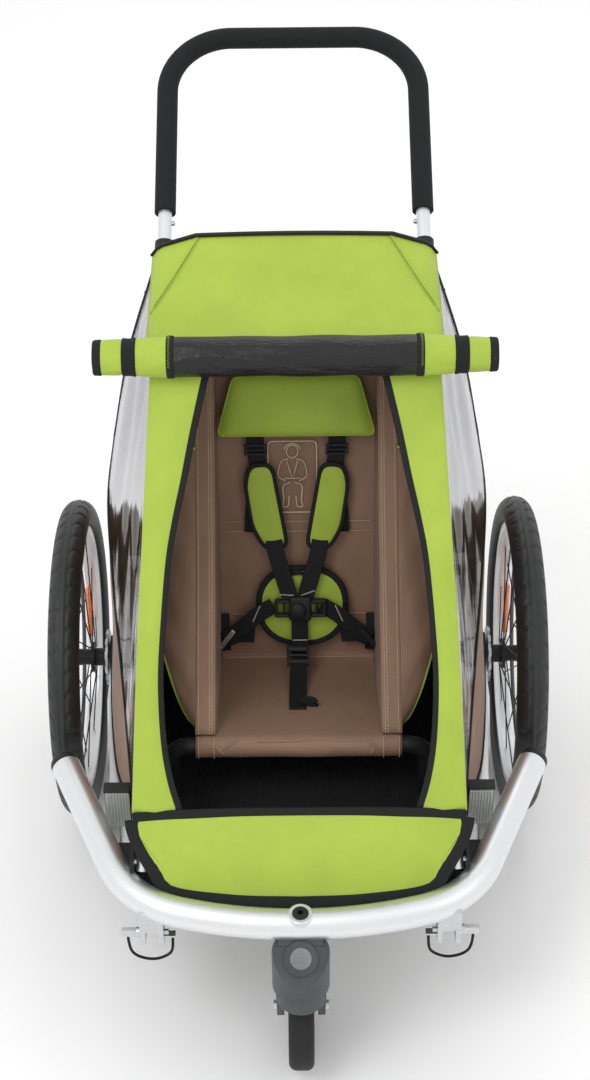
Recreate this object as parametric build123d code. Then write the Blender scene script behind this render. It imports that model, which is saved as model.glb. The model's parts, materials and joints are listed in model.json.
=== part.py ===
"""Single-seat child bicycle trailer, stroller form, in millimetres.

+Z is up, the trailer's front faces -Y and X runs to its left and right. The origin is on the
ground, in the middle of the bounding box. Each piece is modelled with the wheel axle over
Y = 0, and save() moves it into that frame.
"""

import os
from math import atan2, cos, degrees, hypot, radians, sin, tan

from build123d import *

# ---- wheels and ground -------------------------------------------------------------------
WHEEL_RADIUS = 250.0
TYRE_WIDTH = 47.0
TRACK = 690.0
TYRE_WALL = 4.0
RIM_WIDTH = 27.0
BEAD_SEAT = 6.0
RIM_FLANGE_RADIUS = WHEEL_RADIUS - TYRE_WIDTH + BEAD_SEAT
RIM_DEPTH = 19.0
RIM_WALL = 2.0
RIM_SHOULDER = 7.0
RIM_BASE_CHAMFER = 5.0
SPOKE_COUNT = 24
SPOKE_RADIUS = 1.0
SPOKE_LEAN = 32.0
SPOKE_CROSS_GAP = 4.0
SPOKE_RIM_OFFSET = 4.0
SPOKE_HUB_INSET = 3.0
HUB_LENGTH = 66.0
HUB_BARREL_RADIUS = 12.0
HUB_END_RADIUS = 14.0
HUB_END_CHAMFER = (4.0, 2.0)
HUB_FLANGE_RADIUS = 24.0
HUB_FLANGE_SPREAD = 40.0
HUB_FLANGE_THICKNESS = 5.0
AXLE_RADIUS = 6.0
AXLE_HEAD_RADIUS = 10.0
AXLE_HEAD_LENGTH = 5.0
AXLE_HEAD_GAP = 0.5
AXLE_BUTTON_RADIUS = 5.0
AXLE_BUTTON_LENGTH = 9.0
AXLE_BUTTON_TRAVEL = 3.0
AXLE_BUTTON_SPARE = 1.0
AXLE_BUTTON_EDGE = 1.2
BRAKE_DISC_RADIUS = 44.0
BRAKE_DISC_THICKNESS = 4.0
BRAKE_TEETH = 12
BRAKE_TOOTH_DEPTH = 8.0
BRAKE_TOOTH_GAP = 11.0
BRAKE_DISC_BORE_GAP = 2.0
BRAKE_DISC_OFFSET = 8.0
MOUNT_INNER = 15.0
MOUNT_HALF_LENGTH = 24.0
MOUNT_DROP = 22.0
MOUNT_RISE = 4.0
MOUNT_DISC_GAP = 2.0
MOUNT_CORNER = 9.0

# ---- fits --------------------------------------------------------------------------------
RUNNING_FIT = 0.05
SOFT_GAP = 0.5

# ---- floor frame -------------------------------------------------------------------------
RAIL_WIDTH = 20.0
RAIL_HEIGHT = 30.0
RAIL_BOTTOM = 245.0
RAIL_HALF_SPREAD = 283.0
RAIL_FRONT_HALF_SPREAD = 258.0
RAIL_FRONT_Y = -450.0
RAIL_BEND_Y = -120.0
RAIL_REAR_Y = 215.0
CROSS_TUBE_RADIUS = 12.0
CROSS_TUBE_Y = (-432.0, -316.0, 0.0, 200.0)
CROSS_TUBE_WALL = 2.0
CROSS_TUBE_DROP = 2.0
RAIL_EDGE = 4.0
FLOOR_THICKNESS = 3.0
FLOOR_HALF_WIDTH = 236.0
FLOOR_REAR_GAP = 12.0
FLOOR_BEND_Y = -410.0
FLOOR_LIP_INSET = 16.0
FLOOR_LIP_HALF_WIDTH = 192.0
FLOOR_LIP_FROM_Y = -400.0

# ---- bumper ------------------------------------------------------------------------------
BUMPER_RADIUS = 21.0
BUMPER_WALL = 2.5
BUMPER_Z = 300.0
# The inner face is what stays put when the tube's radius changes.
BUMPER_INNER_Y = -559.0
BUMPER_INNER_ARC = 599.0
BUMPER_INNER_CORNER = 123.0
BUMPER_FRONT_Y = BUMPER_INNER_Y - BUMPER_RADIUS
BUMPER_FRONT_ARC = BUMPER_INNER_ARC + BUMPER_RADIUS
BUMPER_CORNER_ARC = BUMPER_INNER_CORNER + BUMPER_RADIUS
BUMPER_FRONT_ANGLE = 15.4
BUMPER_LEG_ANGLE = 67.0
BUMPER_END_Y = -288.0
CAP_LENGTH = 16.0
CAP_PLUG = 14.0
CAP_EDGE = 9.0
SOCKET_STEM_RADIUS = 8.0
SOCKET_HEAD_RADIUS = 11.0
SOCKET_BORE_RADIUS = 4.0
SOCKET_DEPTH = 24.0
SOCKET_HEAD_HEIGHT = 4.0
SOCKET_FLOOR = 4.0
SOCKET_EDGE = 2.0
BOSS_RADIUS = 17.0
BOSS_RISE = 1.5

# ---- front pillars and their brackets ----------------------------------------------------
PILLAR_RADIUS = 10.0
PILLAR_FOOT = (-486.0, 320.0)
PILLAR_ANGLE = 51.9
PILLAR_LENGTH = 650.0
PILLAR_FOOT_HALF_SPREAD = 214.0
PILLAR_TOP_HALF_SPREAD = 188.0
PIVOT_PIN_RADIUS = 4.0
BRACKET_PLATE = 4.0
BRACKET_SIDE_GAP = 3.0
BRACKET_BASE_DROP = 14.0
BRACKET_BASE_THICKNESS = 6.0
BRACKET_BASE_OVERHANG = 8.0
BRACKET_FRONT = 34.0
BRACKET_REAR = 56.0
BRACKET_CHEEK_RISE = 14.0
BRACKET_CHEEK_FRONT = 24.0
BRACKET_HOLE_MARGIN = 4.0
BRACKET_FOOT = (18.0, 24.0)
PILLAR_STUB = 12.0
LATCH_FROM_END = 24.0
LATCH_LENGTH = 52.0
LATCH_WIDTH = 12.0
LATCH_THICKNESS = 4.0
LATCH_BOSS_RADIUS = 5.0
LATCH_GAP = 0.4
LATCH_LIFT = PILLAR_RADIUS + LATCH_BOSS_RADIUS + LATCH_GAP

# ---- rear hoop and roof ------------------------------------------------------------------
HOOP_RADIUS = 11.0
HOOP_FOOT = (95.0, 300.0)
HOOP_TOP = (110.0, 923.0)
HOOP_HALF_SPREAD = 166.0
HOOP_CORNER = 34.0
SEAT_BAR_Z = 830.0
SEAT_BAR_RADIUS = 9.0
BOW_RADIUS = 8.0
BOW_CORNER = 30.0
BOW_DROP = 30.0
BOW_HALF_SPREAD = 163.0
BOW_FRONT = (-46.0, 862.0)
ROOF_FRONT = (200.0, -58.0, 877.0)
ROOF_REAR = (197.0, 116.0, 942.0)
SHEET = 3.0
PLATE = 6.0
PLATE_GAP = 2.0
PLATE_TUBE_MARGIN = 6.0
PLATE_END_RADIUS = 13.0

# ---- handle ------------------------------------------------------------------------------
HANDLE_BASE = (160.0, 893.0)
HANDLE_ANGLE = 28.8
HANDLE_HALF_SPREAD = 187.0
HANDLE_RADIUS = 10.0
HANDLE_WALL = 2.0
HANDLE_REACH = 370.0
HANDLE_CORNER = 95.0
HANDLE_TAIL = 44.0
FOAM_START = 66.0
FOAM_WALL = 5.5
FOAM_RADIUS = HANDLE_RADIUS + FOAM_WALL
SOCKET_WALL = 4.0
SOCKET_RADIUS = HANDLE_RADIUS + SOCKET_WALL
SOCKET_START = -46.0
SOCKET_END = 16.0
LUG_AT = 32.0
LUG_BELOW = 14.0
LUG_ABOVE = 10.0
LUG_BITE = 4.0
LUG_AHEAD = 3.0
LUG_BEHIND = 6.0
SNAP_PIN_RADIUS = 3.5
SNAP_PIN_AT = 48.0
SNAP_PIN_OUT = 5.0
SNAP_PIN_LENGTH = 9.0
SNAP_PIN_EDGE = 2.5

# ---- caster wheel ------------------------------------------------------------------------
CASTER_RADIUS = 90.0
CASTER_WIDTH = 36.0
CASTER_TRAIL = 50.0
SWIVEL_Y = -604.0
CASTER_TYRE_EDGE = 11.0
CASTER_CORE_RADIUS = 66.0
CASTER_CORE_INSET = 4.0
CASTER_CORE_RIM = 6.0
CASTER_WEB_HALF = 5.0
CASTER_WEB_DEPTH = 10.0
CASTER_BOSS_RADIUS = 16.0
CASTER_BOSS_FILLET = 4.0
CASTER_HOLES = 5
CASTER_HOLE_RADIUS = 12.0
CASTER_HOLE_AT = 38.0
CASTER_BOLT_RADIUS = 4.0
CASTER_BOLT_HEAD = (8.0, 5.0)
CASTER_SPACER_RADIUS = 7.0
CASTER_SPACER_GAP = 1.0
CASTER_SIDE_GAP = 6.0
FORK_GAP = CASTER_WIDTH + 2 * CASTER_SIDE_GAP
FORK_PLATE = 10.0
FORK_CROWN = (176.0, 206.0)
FORK_CROWN_EDGE = 5.0
FORK_LEG_TOP = (2.0, 13.0)
FORK_LEG_END_RADIUS = 14.0
FORK_TYRE_GAP = 6.0
STEM_RADIUS = 12.5
STEM_TOP = 246.0
HOUSING_RADIUS = 39.0
HOUSING_BOTTOM = 207.0
HOUSING_TOP = 284.0
HOUSING_EDGE = 12.0
HOUSING_ARM_HALF_WIDTH = 30.0
HOUSING_ARM_RISE = 22.0
HOUSING_ARM_REACH = 26.0
HOUSING_ARM_TOP = 4.0
BUTTON_CENTRE = (-616.0, 273.0)
BUTTON_RING_RADIUS = 23.0
BUTTON_RING_HEIGHT = 3.0
BUTTON_RING_DEPTH = 7.0
BUTTON_RADIUS = 15.0
BUTTON_DEPTH = 8.0
BUTTON_TRAVEL = 2.5
BUTTON_EDGE = 2.0

# ---- parking brake -----------------------------------------------------------------------
BRAKE_SHAFT_RADIUS = 6.0
BRAKE_SHAFT = (75.0, WHEEL_RADIUS - BRAKE_DISC_RADIUS - BRAKE_SHAFT_RADIUS)
BRAKE_PAWL_WIDTH = 6.0
BRAKE_PAWL_GAP = 4.0
BRAKE_ARM_TOP = 5.0
BRAKE_ARM_TIP_TOP = 2.0
BRAKE_ARM_BOTTOM = (5.0, 8.0)
BRAKE_PEDAL_X = 150.0
BRAKE_PEDAL_END = 236.0
BRAKE_PEDAL_HALF_WIDTH = 44.0
BRAKE_PEDAL_LENGTH = 26.0
BRAKE_PEDAL_HEIGHT = (10.0, 2.0)
BRAKE_PEDAL_EDGE = 4.0
BRAKE_PEDAL_ROD_RADIUS = 5.0
BRAKE_PEDAL_ROD_SPREAD = 28.0
BRAKE_PEDAL_ROD_INSET = 10.0
BRAKE_PEDAL_ROD_DROP = 4.0

# ---- tow clevises and lock pins ----------------------------------------------------------
CLEVIS_X = 202.0
CLEVIS_Y = -550.0
CLEVIS_Z = 250.0
CLEVIS_WIDTH = 32.0
CLEVIS_SLOT = 18.0
CLEVIS_SLOT_RISE = 14.0
CLEVIS_HALF_LENGTH = 13.0
CLEVIS_LUG = (4.0, 6.0, 3.0)
LOCK_PIN_RADIUS = 4.0
LOCK_PIN_STICK_OUT = 6.0
LOCK_PIN_HEAD_GAP = 1.0
LOCK_PIN_HEAD = (7.0, 5.0)
EYELET_REACH = 8.0
EYELET_SPAN = (2.0, 4.0, 5.0)
LANYARD_RADIUS = 2.0
LANYARD_EXIT_Z = 242.0
# The lanyard's route on the right side, as distances from the clevis: outward, back, up.
LANYARD_POINTS = [
    (34.0, 0.0, 0.0),
    (34.0, 0.0, -26.0),
    (26.0, 6.0, -52.0),
    (2.0, 10.0, -66.0),
    (-20.0, 8.0, -52.0),
    (-27.0, 0.0, -27.0),
    (-27.0, 0.0, 0.0),
]

# ---- seat --------------------------------------------------------------------------------
SEAT_TUBE = (-316.0, 370.0)
SEAT_TUBE_RADIUS = 12.5
SEAT_TUBE_HALF_SPREAD = 182.0
SEAT_TUBE_CORNER = 28.0
SEAT_HALF_WIDTH = 146.0
SEAT_CREASE = (-70.0, 305.0)
SEAT_TOP = (96.0, 812.0)
WING_HALF_SPREAD = 149.0
WING_FRONT = (-290.0, 392.0)
WING_FRONT_TOP = (-256.0, 460.0)
WING_SHOULDER = (-150.0, 590.0)
WING_TOP = (76.0, 752.0)
WING_CREASE = (-60.0, 335.0)

# ---- cover -------------------------------------------------------------------------------
FACE_BOTTOM = (-457.0, 380.0)
FACE_TOP = (-65.0, 880.0)
APRON_BOTTOM = (-541.0, 308.0)
APRON_CORNER = (178.0, -520.0, 308.0)
SIDE_VERTEX = (284.0, 40.0, 540.0)
SIDE_REAR = (282.0, 172.0, 560.0)
SILL_FRONT = (229.0, -424.0, 350.0)
SILL_BOTTOM_FRONT = (229.0, -424.0, 283.0)
SILL_BOTTOM_REAR = (280.0, 206.0, 283.0)
REAR_PANEL_TOP = (192.0, 135.0, 842.0)
REAR_PANEL_FOOT_Y = 217.0
PANEL_INSET = 5.0
REAR_PANEL_INSET = 2.0
# Half width of the front frame and of the gap in it at each height, from the bottom up.
SURROUND_EDGE = [(383.0, 227.0), (500.0, 224.0), (660.0, 212.0), (850.0, 200.0)]
OPENING_EDGE = [(395.0, 165.0), (425.0, 180.0), (480.0, 186.0), (560.0, 186.0),
                (660.0, 176.0), (740.0, 160.0), (836.0, 126.0)]
APRON_TOP = (224.0, 376.0)
APRON_TOP_GAP = 4.0
APRON_MID_HALF_WIDTH = 205.0
APRON_BOTTOM_GAP = (6.0, 5.0)
ROLL_CENTRE = (-91.0, 882.0)
ROLL_RADIUS = 28.0
ROLL_END_RADIUS = 21.0
ROLL_HALF_LENGTH = 271.0
ROLL_MIDDLE_HALF_LENGTH = 168.0

# ---- harness (heights on the seat back) --------------------------------------------------
STRAP_WIDTH = 25.0
STRAP_THICKNESS = 2.0
STRAP_LIFT = 5.0
FRONT_STRAP_LIFT = 14.0
BELLY_PAD_RADIUS = 62.0
PAD_WIDTH = 42.0
PAD_THICKNESS = 8.0
PAD_LIFT = 9.0
BELLY_PAD_Z = 392.0
# Each strap and pad runs between two (half spread, height) places on the seat back.
SHOULDER_STRAP = ((62.0, 640.0), (64.0, 790.0))
CHEST_STRAP = ((38.0, 470.0), (24.0, 424.0))
HIP_STRAP = ((48.0, 404.0), (118.0, 352.0))
CROTCH_STRAP = ((0.0, 330.0), (0.0, 372.0))
SHOULDER_PAD = ((40.0, 480.0), (62.0, 600.0))
SHOULDER_ADJUSTER = ((63.0, 640.0), (63.0, 652.0))
HIP_ADJUSTER = ((98.0, 367.0), (107.0, 360.0))
CROTCH_ADJUSTER = ((0.0, 330.0), (0.0, 344.0))
ADJUSTER_WIDTH = 34.0
ADJUSTER_THICKNESS = 4.0
BUCKLE_Z = 397.0
BUCKLE_SIZE = (78.0, 38.0, 14.0)
BUCKLE_LIFT = 20.0
BUCKLE_BUTTON_RADIUS = 13.0
BUCKLE_BUTTON_TRAVEL = 2.0
BUCKLE_CORNER = 9.0
BUCKLE_POCKET = 7.0
BUCKLE_BUTTON_SPARE = 0.5
BUCKLE_BUTTON_EDGE = 1.5

# ---- headrest ----------------------------------------------------------------------------
HEADREST_HALF_WIDTH = (116.0, 94.0)
HEADREST_HEIGHT = 84.0
HEADREST_THICKNESS = 26.0
HEADREST_CORNER = 14.0
HEADREST_EDGE = 12.0
HEADREST_Z = 684.0
HEADREST_LIFT = 17.0

# ---- reflectors --------------------------------------------------------------------------
REFLECTOR_SIZE = (34.0, 12.0, 72.0)
REFLECTOR_AT = (256.0, -376.0)
REFLECTOR_CORNER = 6.0

HALF_TRACK = TRACK / 2
RAIL_TOP = RAIL_BOTTOM + RAIL_HEIGHT
CROSS_TUBE_Z = RAIL_BOTTOM + RAIL_HEIGHT / 2 - CROSS_TUBE_DROP
BRAKE_DISC_X = RAIL_HALF_SPREAD + RAIL_WIDTH / 2 + BRAKE_DISC_OFFSET
CASTER_AXLE = (SWIVEL_Y + CASTER_TRAIL, CASTER_RADIUS)
UPRIGHT = (Align.CENTER, Align.CENTER, Align.MIN)
HANDLE_UP = (cos(radians(HANDLE_ANGLE)), sin(radians(HANDLE_ANGLE)))
HANDLE_TOP = (HANDLE_BASE[0] + HANDLE_UP[0] * HANDLE_REACH,
              HANDLE_BASE[1] + HANDLE_UP[1] * HANDLE_REACH)
FRONT_EXTENT = SWIVEL_Y + CASTER_TRAIL - CASTER_RADIUS
REAR_EXTENT = HANDLE_TOP[0] + FOAM_RADIUS
AXLE_SHIFT = -(FRONT_EXTENT + REAR_EXTENT) / 2

SIDES = (("left", -1), ("right", 1))


def save(name, *shapes):
    """Writes one node, moved so that the box's middle is over the origin."""
    solids = [solid for shape in shapes for solid in shape.solids()]
    node = Compound(children=[solid.moved(Location((0, AXLE_SHIFT, 0))) for solid in solids])
    node.label = name
    export_step(node, f"parts/{name}.step")


def both(shape):
    """The shape and its mirror image across the middle plane."""
    return [shape, mirror(shape, about=Plane.YZ)]


def rod(start, end, radius):
    """A round bar between two points."""
    axis = Vector(*end) - Vector(*start)
    return Plane(origin=start, z_dir=axis) * Cylinder(
        radius, axis.length, align=UPRIGHT)


def across(x0, x1, y, z, radius):
    """A round bar along X."""
    return rod((min(x0, x1), y, z), (max(x0, x1), y, z), radius)


def block(x0, x1, y0, y1, z0, z1):
    """A box between two corners."""
    return Pos((x0 + x1) / 2, (y0 + y1) / 2, (z0 + z1) / 2) * Box(
        abs(x1 - x0), abs(y1 - y0), abs(z1 - z0))


def swept(path, radius, wall=0.0):
    """A tube, or a solid bar when it has no wall, along a path."""
    section = Circle(radius)
    if wall:
        section -= Circle(radius - wall)
    return sweep(Plane(origin=path @ 0, z_dir=path % 0) * section, path=path)


def turned(x, y, z, profile):
    """A profile of (along the axle, radius) points, turned about the X axis through (y, z)."""
    face = make_face(Polyline(*[(a, r) for a, r in profile], close=True))
    return Pos(x, y, z) * revolve(face, Axis.X)


def sheet(points, thickness=SHEET, inset=PANEL_INSET):
    """A flat polygon of fabric, drawn in by the inset and given a thickness both ways."""
    face = Face(Wire.make_polygon([Vector(*p) for p in points], close=True))
    normal = face.normal_at()
    plane = Plane(origin=face.center(), x_dir=Vector(*points[1]) - Vector(*points[0]), z_dir=normal)
    flat = plane.to_local_coords(face)
    if inset:
        flat = offset(flat, amount=-inset, kind=Kind.INTERSECTION)
    return plane * extrude(flat, amount=thickness / 2, both=True)


# ---- floor frame -------------------------------------------------------------------------
def rail_half_spread(y):
    """How far the side rail's centre line is from the middle at a place along it."""
    if y > RAIL_BEND_Y:
        return RAIL_HALF_SPREAD
    share = (y - RAIL_FRONT_Y) / (RAIL_BEND_Y - RAIL_FRONT_Y)
    return RAIL_FRONT_HALF_SPREAD + share * (RAIL_HALF_SPREAD - RAIL_FRONT_HALF_SPREAD)


def side_rail():
    half = RAIL_WIDTH / 2
    places = [RAIL_FRONT_Y, RAIL_BEND_Y, RAIL_REAR_Y]
    outer = [(rail_half_spread(y) + half, y) for y in places]
    inner = [(rail_half_spread(y) - half, y) for y in reversed(places)]
    rail = Pos(0, 0, RAIL_BOTTOM) * extrude(make_face(Polyline(*outer, *inner, close=True)),
                                            amount=RAIL_HEIGHT)
    rail = fillet(rail.edges().filter_by(lambda e: abs(e.tangent_at(0.5).Z) < 0.1),
                  radius=RAIL_EDGE)
    return rail - across(0, HALF_TRACK, 0, WHEEL_RADIUS, AXLE_RADIUS)


def cross_tube(y, rails):
    half = rail_half_spread(y)
    tube = across(-half, half, y, CROSS_TUBE_Z, CROSS_TUBE_RADIUS)
    tube -= across(-half, half, y, CROSS_TUBE_Z, CROSS_TUBE_RADIUS - CROSS_TUBE_WALL)
    for rail in rails:
        tube -= rail
    for axle in both(wheel_axle()):
        tube -= axle
    return max(tube.solids(), key=lambda solid: solid.volume)


def floor_panel():
    """The mesh floor on the cross tubes, turned up at the front edge."""
    under = CROSS_TUBE_Z + CROSS_TUBE_RADIUS + SOFT_GAP
    over = under + FLOOR_THICKNESS
    rear = RAIL_REAR_Y - FLOOR_REAR_GAP
    lip = (FACE_BOTTOM[0] + FLOOR_LIP_INSET, FACE_BOTTOM[1] - FLOOR_LIP_INSET)
    outline = [(rear, under), (FLOOR_BEND_Y, under), lip, (lip[0] + FLOOR_THICKNESS, lip[1]),
               (FLOOR_BEND_Y + FLOOR_THICKNESS, over), (rear, over)]
    profile = Plane.YZ * make_face(Polyline(*outline, close=True))
    panel = extrude(profile, amount=FLOOR_HALF_WIDTH, both=True)
    # The turned-up front is narrower, to pass between the pillars' brackets.
    plate_outer = HOOP_HALF_SPREAD - HOOP_RADIUS - PLATE_GAP
    plate_ends = CROSS_TUBE_RADIUS + PLATE_TUBE_MARGIN, HOOP_FOOT[0] + PLATE_END_RADIUS
    for side in (-1, 1):
        panel -= block(side * FLOOR_LIP_HALF_WIDTH, side * FLOOR_HALF_WIDTH, FLOOR_LIP_FROM_Y,
                       FACE_BOTTOM[0], under - 1, FACE_BOTTOM[1])
        panel -= block(side * (plate_outer - PLATE - SHEET), side * (plate_outer + SHEET),
                       -plate_ends[0] - SHEET, plate_ends[1] + SHEET, under - 1, over + 1)
        panel -= Pos(side * SEAT_TUBE_HALF_SPREAD, SEAT_TUBE[0], under) * Cylinder(
            SEAT_TUBE_RADIUS + SOFT_GAP, 4 * FLOOR_THICKNESS)
    return panel


# ---- bumper ------------------------------------------------------------------------------
def bumper_points():
    """Centre-line points of the right half: front, arc middle, arc end, corner middle, leg, end."""
    def on_front(angle):
        a = radians(angle)
        return (BUMPER_FRONT_ARC * sin(a), BUMPER_FRONT_Y + BUMPER_FRONT_ARC * (1 - cos(a)))
    turn = on_front(BUMPER_FRONT_ANGLE)
    a = radians(BUMPER_FRONT_ANGLE)
    centre = (turn[0] - BUMPER_CORNER_ARC * sin(a), turn[1] + BUMPER_CORNER_ARC * cos(a))

    def on_corner(angle):
        b = radians(angle)
        return (centre[0] + BUMPER_CORNER_ARC * sin(b), centre[1] - BUMPER_CORNER_ARC * cos(b))
    leg = on_corner(BUMPER_LEG_ANGLE)
    run = (BUMPER_END_Y - leg[1]) / sin(radians(BUMPER_LEG_ANGLE))
    end = (leg[0] + run * cos(radians(BUMPER_LEG_ANGLE)), BUMPER_END_Y)
    middle = on_corner((BUMPER_FRONT_ANGLE + BUMPER_LEG_ANGLE) / 2)
    return turn, middle, leg, end


def bumper_path():
    turn, middle, leg, end = bumper_points()

    def at(p, side):
        return (side * p[0], p[1], BUMPER_Z)
    front = (0, BUMPER_FRONT_Y, BUMPER_Z)
    return Wire([
        Line(at(end, -1), at(leg, -1)).edge(),
        ThreePointArc(at(leg, -1), at(middle, -1), at(turn, -1)).edge(),
        ThreePointArc(at(turn, -1), front, at(turn, 1)).edge(),
        ThreePointArc(at(turn, 1), at(middle, 1), at(leg, 1)).edge(),
        Line(at(leg, 1), at(end, 1)).edge(),
    ])


def bumper_cap():
    end = bumper_points()[3]
    lean = radians(BUMPER_LEG_ANGLE)
    plane = Plane(origin=(end[0], end[1], BUMPER_Z), z_dir=(cos(lean), sin(lean), 0))
    head = Cylinder(BUMPER_RADIUS, CAP_LENGTH, align=UPRIGHT)
    head = fillet(head.edges().sort_by(Axis.Z)[-1], radius=CAP_EDGE)
    plug = Pos(0, 0, -CAP_PLUG) * Cylinder(BUMPER_RADIUS - BUMPER_WALL, CAP_PLUG,
                                           align=UPRIGHT)
    return plane * (head + plug)


def accessory_socket():
    """The rubber socket in the middle of the bumper's top, with its blind bore."""
    top = BUMPER_Z + BUMPER_RADIUS
    stem = Cylinder(SOCKET_STEM_RADIUS, SOCKET_DEPTH + SOCKET_EDGE, align=UPRIGHT)
    head = Pos(0, 0, SOCKET_DEPTH) * Cylinder(SOCKET_HEAD_RADIUS, SOCKET_HEAD_HEIGHT, align=UPRIGHT)
    head = fillet(head.edges().sort_by(Axis.Z)[-1], radius=SOCKET_EDGE)
    bore = Pos(0, 0, SOCKET_FLOOR) * Cylinder(SOCKET_BORE_RADIUS, SOCKET_DEPTH, align=UPRIGHT)
    return Pos(0, BUMPER_FRONT_Y, top - SOCKET_DEPTH) * (stem + head - bore)


def bumper_tube(path, socket):
    """The bent tube, with the welded boss that takes the accessory socket."""
    boss = Cylinder(BOSS_RADIUS, BUMPER_RADIUS + BOSS_RISE, align=UPRIGHT)
    boss = fillet(boss.edges().sort_by(Axis.Z)[-1], radius=BOSS_RISE)
    hole = Cylinder(SOCKET_STEM_RADIUS, 2 * BUMPER_RADIUS, align=UPRIGHT)
    middle = Pos(0, BUMPER_FRONT_Y, BUMPER_Z)
    tube = swept(path, BUMPER_RADIUS) + middle * boss
    tube -= swept(path, BUMPER_RADIUS - BUMPER_WALL)
    return tube - middle * hole - socket


# ---- front pillars -----------------------------------------------------------------------
def on_pillar(distance):
    """The pillar's centre line on the right side, at a distance from its pivot."""
    share = distance / PILLAR_LENGTH
    x = PILLAR_FOOT_HALF_SPREAD + share * (PILLAR_TOP_HALF_SPREAD - PILLAR_FOOT_HALF_SPREAD)
    a = radians(PILLAR_ANGLE)
    return (x, PILLAR_FOOT[0] + distance * cos(a), PILLAR_FOOT[1] + distance * sin(a))


def front_pillar():
    pillar = rod(on_pillar(-PILLAR_STUB), on_pillar(PILLAR_LENGTH), PILLAR_RADIUS)
    return pillar - across(0, HALF_TRACK, *PILLAR_FOOT, PIVOT_PIN_RADIUS + RUNNING_FIT)


def pillar_cheeks():
    """Inner faces of the two bracket plates on each side of the pillar's foot."""
    clear = PILLAR_RADIUS + BRACKET_SIDE_GAP
    return PILLAR_FOOT_HALF_SPREAD - clear, PILLAR_FOOT_HALF_SPREAD + clear


def corner_bracket(bumper_bar, rail):
    """The bracket that joins rail, bumper and pillar, with triangular openings in its base."""
    inner, outer = pillar_cheeks()
    y, z = PILLAR_FOOT
    front = y - BRACKET_FRONT
    rear = y + BRACKET_REAR
    rise = BRACKET_CHEEK_RISE
    base_top = z - PILLAR_RADIUS - BRACKET_BASE_DROP
    base_bottom = base_top - BRACKET_BASE_THICKNESS
    cheek = Plane.YZ * make_face(Polyline(
        (y - BRACKET_CHEEK_FRONT, base_top), (y - rise, z + rise), (y + rise, z + rise),
        (rear, base_top), close=True))
    bracket = Pos(outer, 0, 0) * extrude(cheek, amount=BRACKET_PLATE)
    bracket += Pos(inner, 0, 0) * extrude(cheek, amount=-BRACKET_PLATE)
    over = BRACKET_BASE_OVERHANG
    rim = rail_half_spread(rear) + RAIL_WIDTH / 2
    base = Pos(0, 0, base_bottom) * extrude(make_face(Polyline(
        (inner - over, front), (outer + over, front), (rim, y + rise), (rim, rear),
        (inner - over, rear), close=True)), amount=BRACKET_BASE_THICKNESS)
    margin = BRACKET_HOLE_MARGIN
    hole = Pos(0, 0, base_bottom) * extrude(make_face(Polyline(
        (inner + margin, y + margin), (outer - margin, y + margin), (outer - margin, rear - over),
        close=True)), amount=BRACKET_BASE_THICKNESS)
    bracket += base - hole
    foot_width, foot_length = BRACKET_FOOT
    foot = rail_half_spread(rear - foot_length / 2)
    bracket += block(foot - foot_width / 2, foot + foot_width / 2, rear, rear - foot_length,
                     RAIL_TOP, base_bottom)
    bracket -= bumper_bar
    bracket -= rail
    bracket -= across(0, HALF_TRACK, y, z, PIVOT_PIN_RADIUS)
    return max(bracket.solids(), key=lambda solid: solid.volume)


def pillar_pin():
    inner, outer = pillar_cheeks()
    return across(inner - BRACKET_PLATE, outer + BRACKET_PLATE, *PILLAR_FOOT, PIVOT_PIN_RADIUS)


def roof_latch():
    """The clamp lever on the back face of the pillar's top end, hinged at its upper end."""
    x, y, z = on_pillar(PILLAR_LENGTH - LATCH_FROM_END)
    lean = Location((x, y, z), (PILLAR_ANGLE - 90, 0, 0))
    boss = Pos(0, LATCH_LIFT, 0) * Rot(0, 90, 0) * Cylinder(LATCH_BOSS_RADIUS, LATCH_WIDTH)
    lever = Pos(0, LATCH_LIFT, -LATCH_LENGTH / 2) * Box(
        LATCH_WIDTH, LATCH_THICKNESS, LATCH_LENGTH)
    lever = fillet(lever.edges().filter_by(Axis.Y).sort_by(Axis.Z)[:2], radius=0.45 * LATCH_WIDTH)
    return lean * (boss + lever)


# ---- rear hoop and roof ------------------------------------------------------------------
def hoop_y(z):
    """The leaning hoop's centre line, as Y at a height."""
    share = (z - HOOP_FOOT[1]) / (HOOP_TOP[1] - HOOP_FOOT[1])
    return HOOP_FOOT[0] + share * (HOOP_TOP[0] - HOOP_FOOT[0])


def rear_hoop():
    low = HOOP_FOOT[1] - HOOP_RADIUS
    path = FilletPolyline(
        (-HOOP_HALF_SPREAD, hoop_y(low), low), (-HOOP_HALF_SPREAD, *HOOP_TOP),
        (HOOP_HALF_SPREAD, *HOOP_TOP), (HOOP_HALF_SPREAD, hoop_y(low), low), radius=HOOP_CORNER)
    hoop = swept(path, HOOP_RADIUS)
    hoop += across(-HOOP_HALF_SPREAD, HOOP_HALF_SPREAD, hoop_y(SEAT_BAR_Z), SEAT_BAR_Z,
                   SEAT_BAR_RADIUS)
    return hoop - across(-HALF_TRACK, HALF_TRACK, *HOOP_FOOT, PIVOT_PIN_RADIUS + RUNNING_FIT)


def roof_bow(hoop):
    """The roof's side and front tube, which runs forward from the hoop's legs."""
    root = (hoop_y(HOOP_TOP[1] - BOW_DROP), HOOP_TOP[1] - BOW_DROP)
    path = FilletPolyline(
        (-BOW_HALF_SPREAD, *root), (-BOW_HALF_SPREAD, *BOW_FRONT),
        (BOW_HALF_SPREAD, *BOW_FRONT), (BOW_HALF_SPREAD, *root), radius=BOW_CORNER)
    bow = swept(path, BOW_RADIUS) - hoop
    return max(bow.solids(), key=lambda solid: solid.volume)


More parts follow.
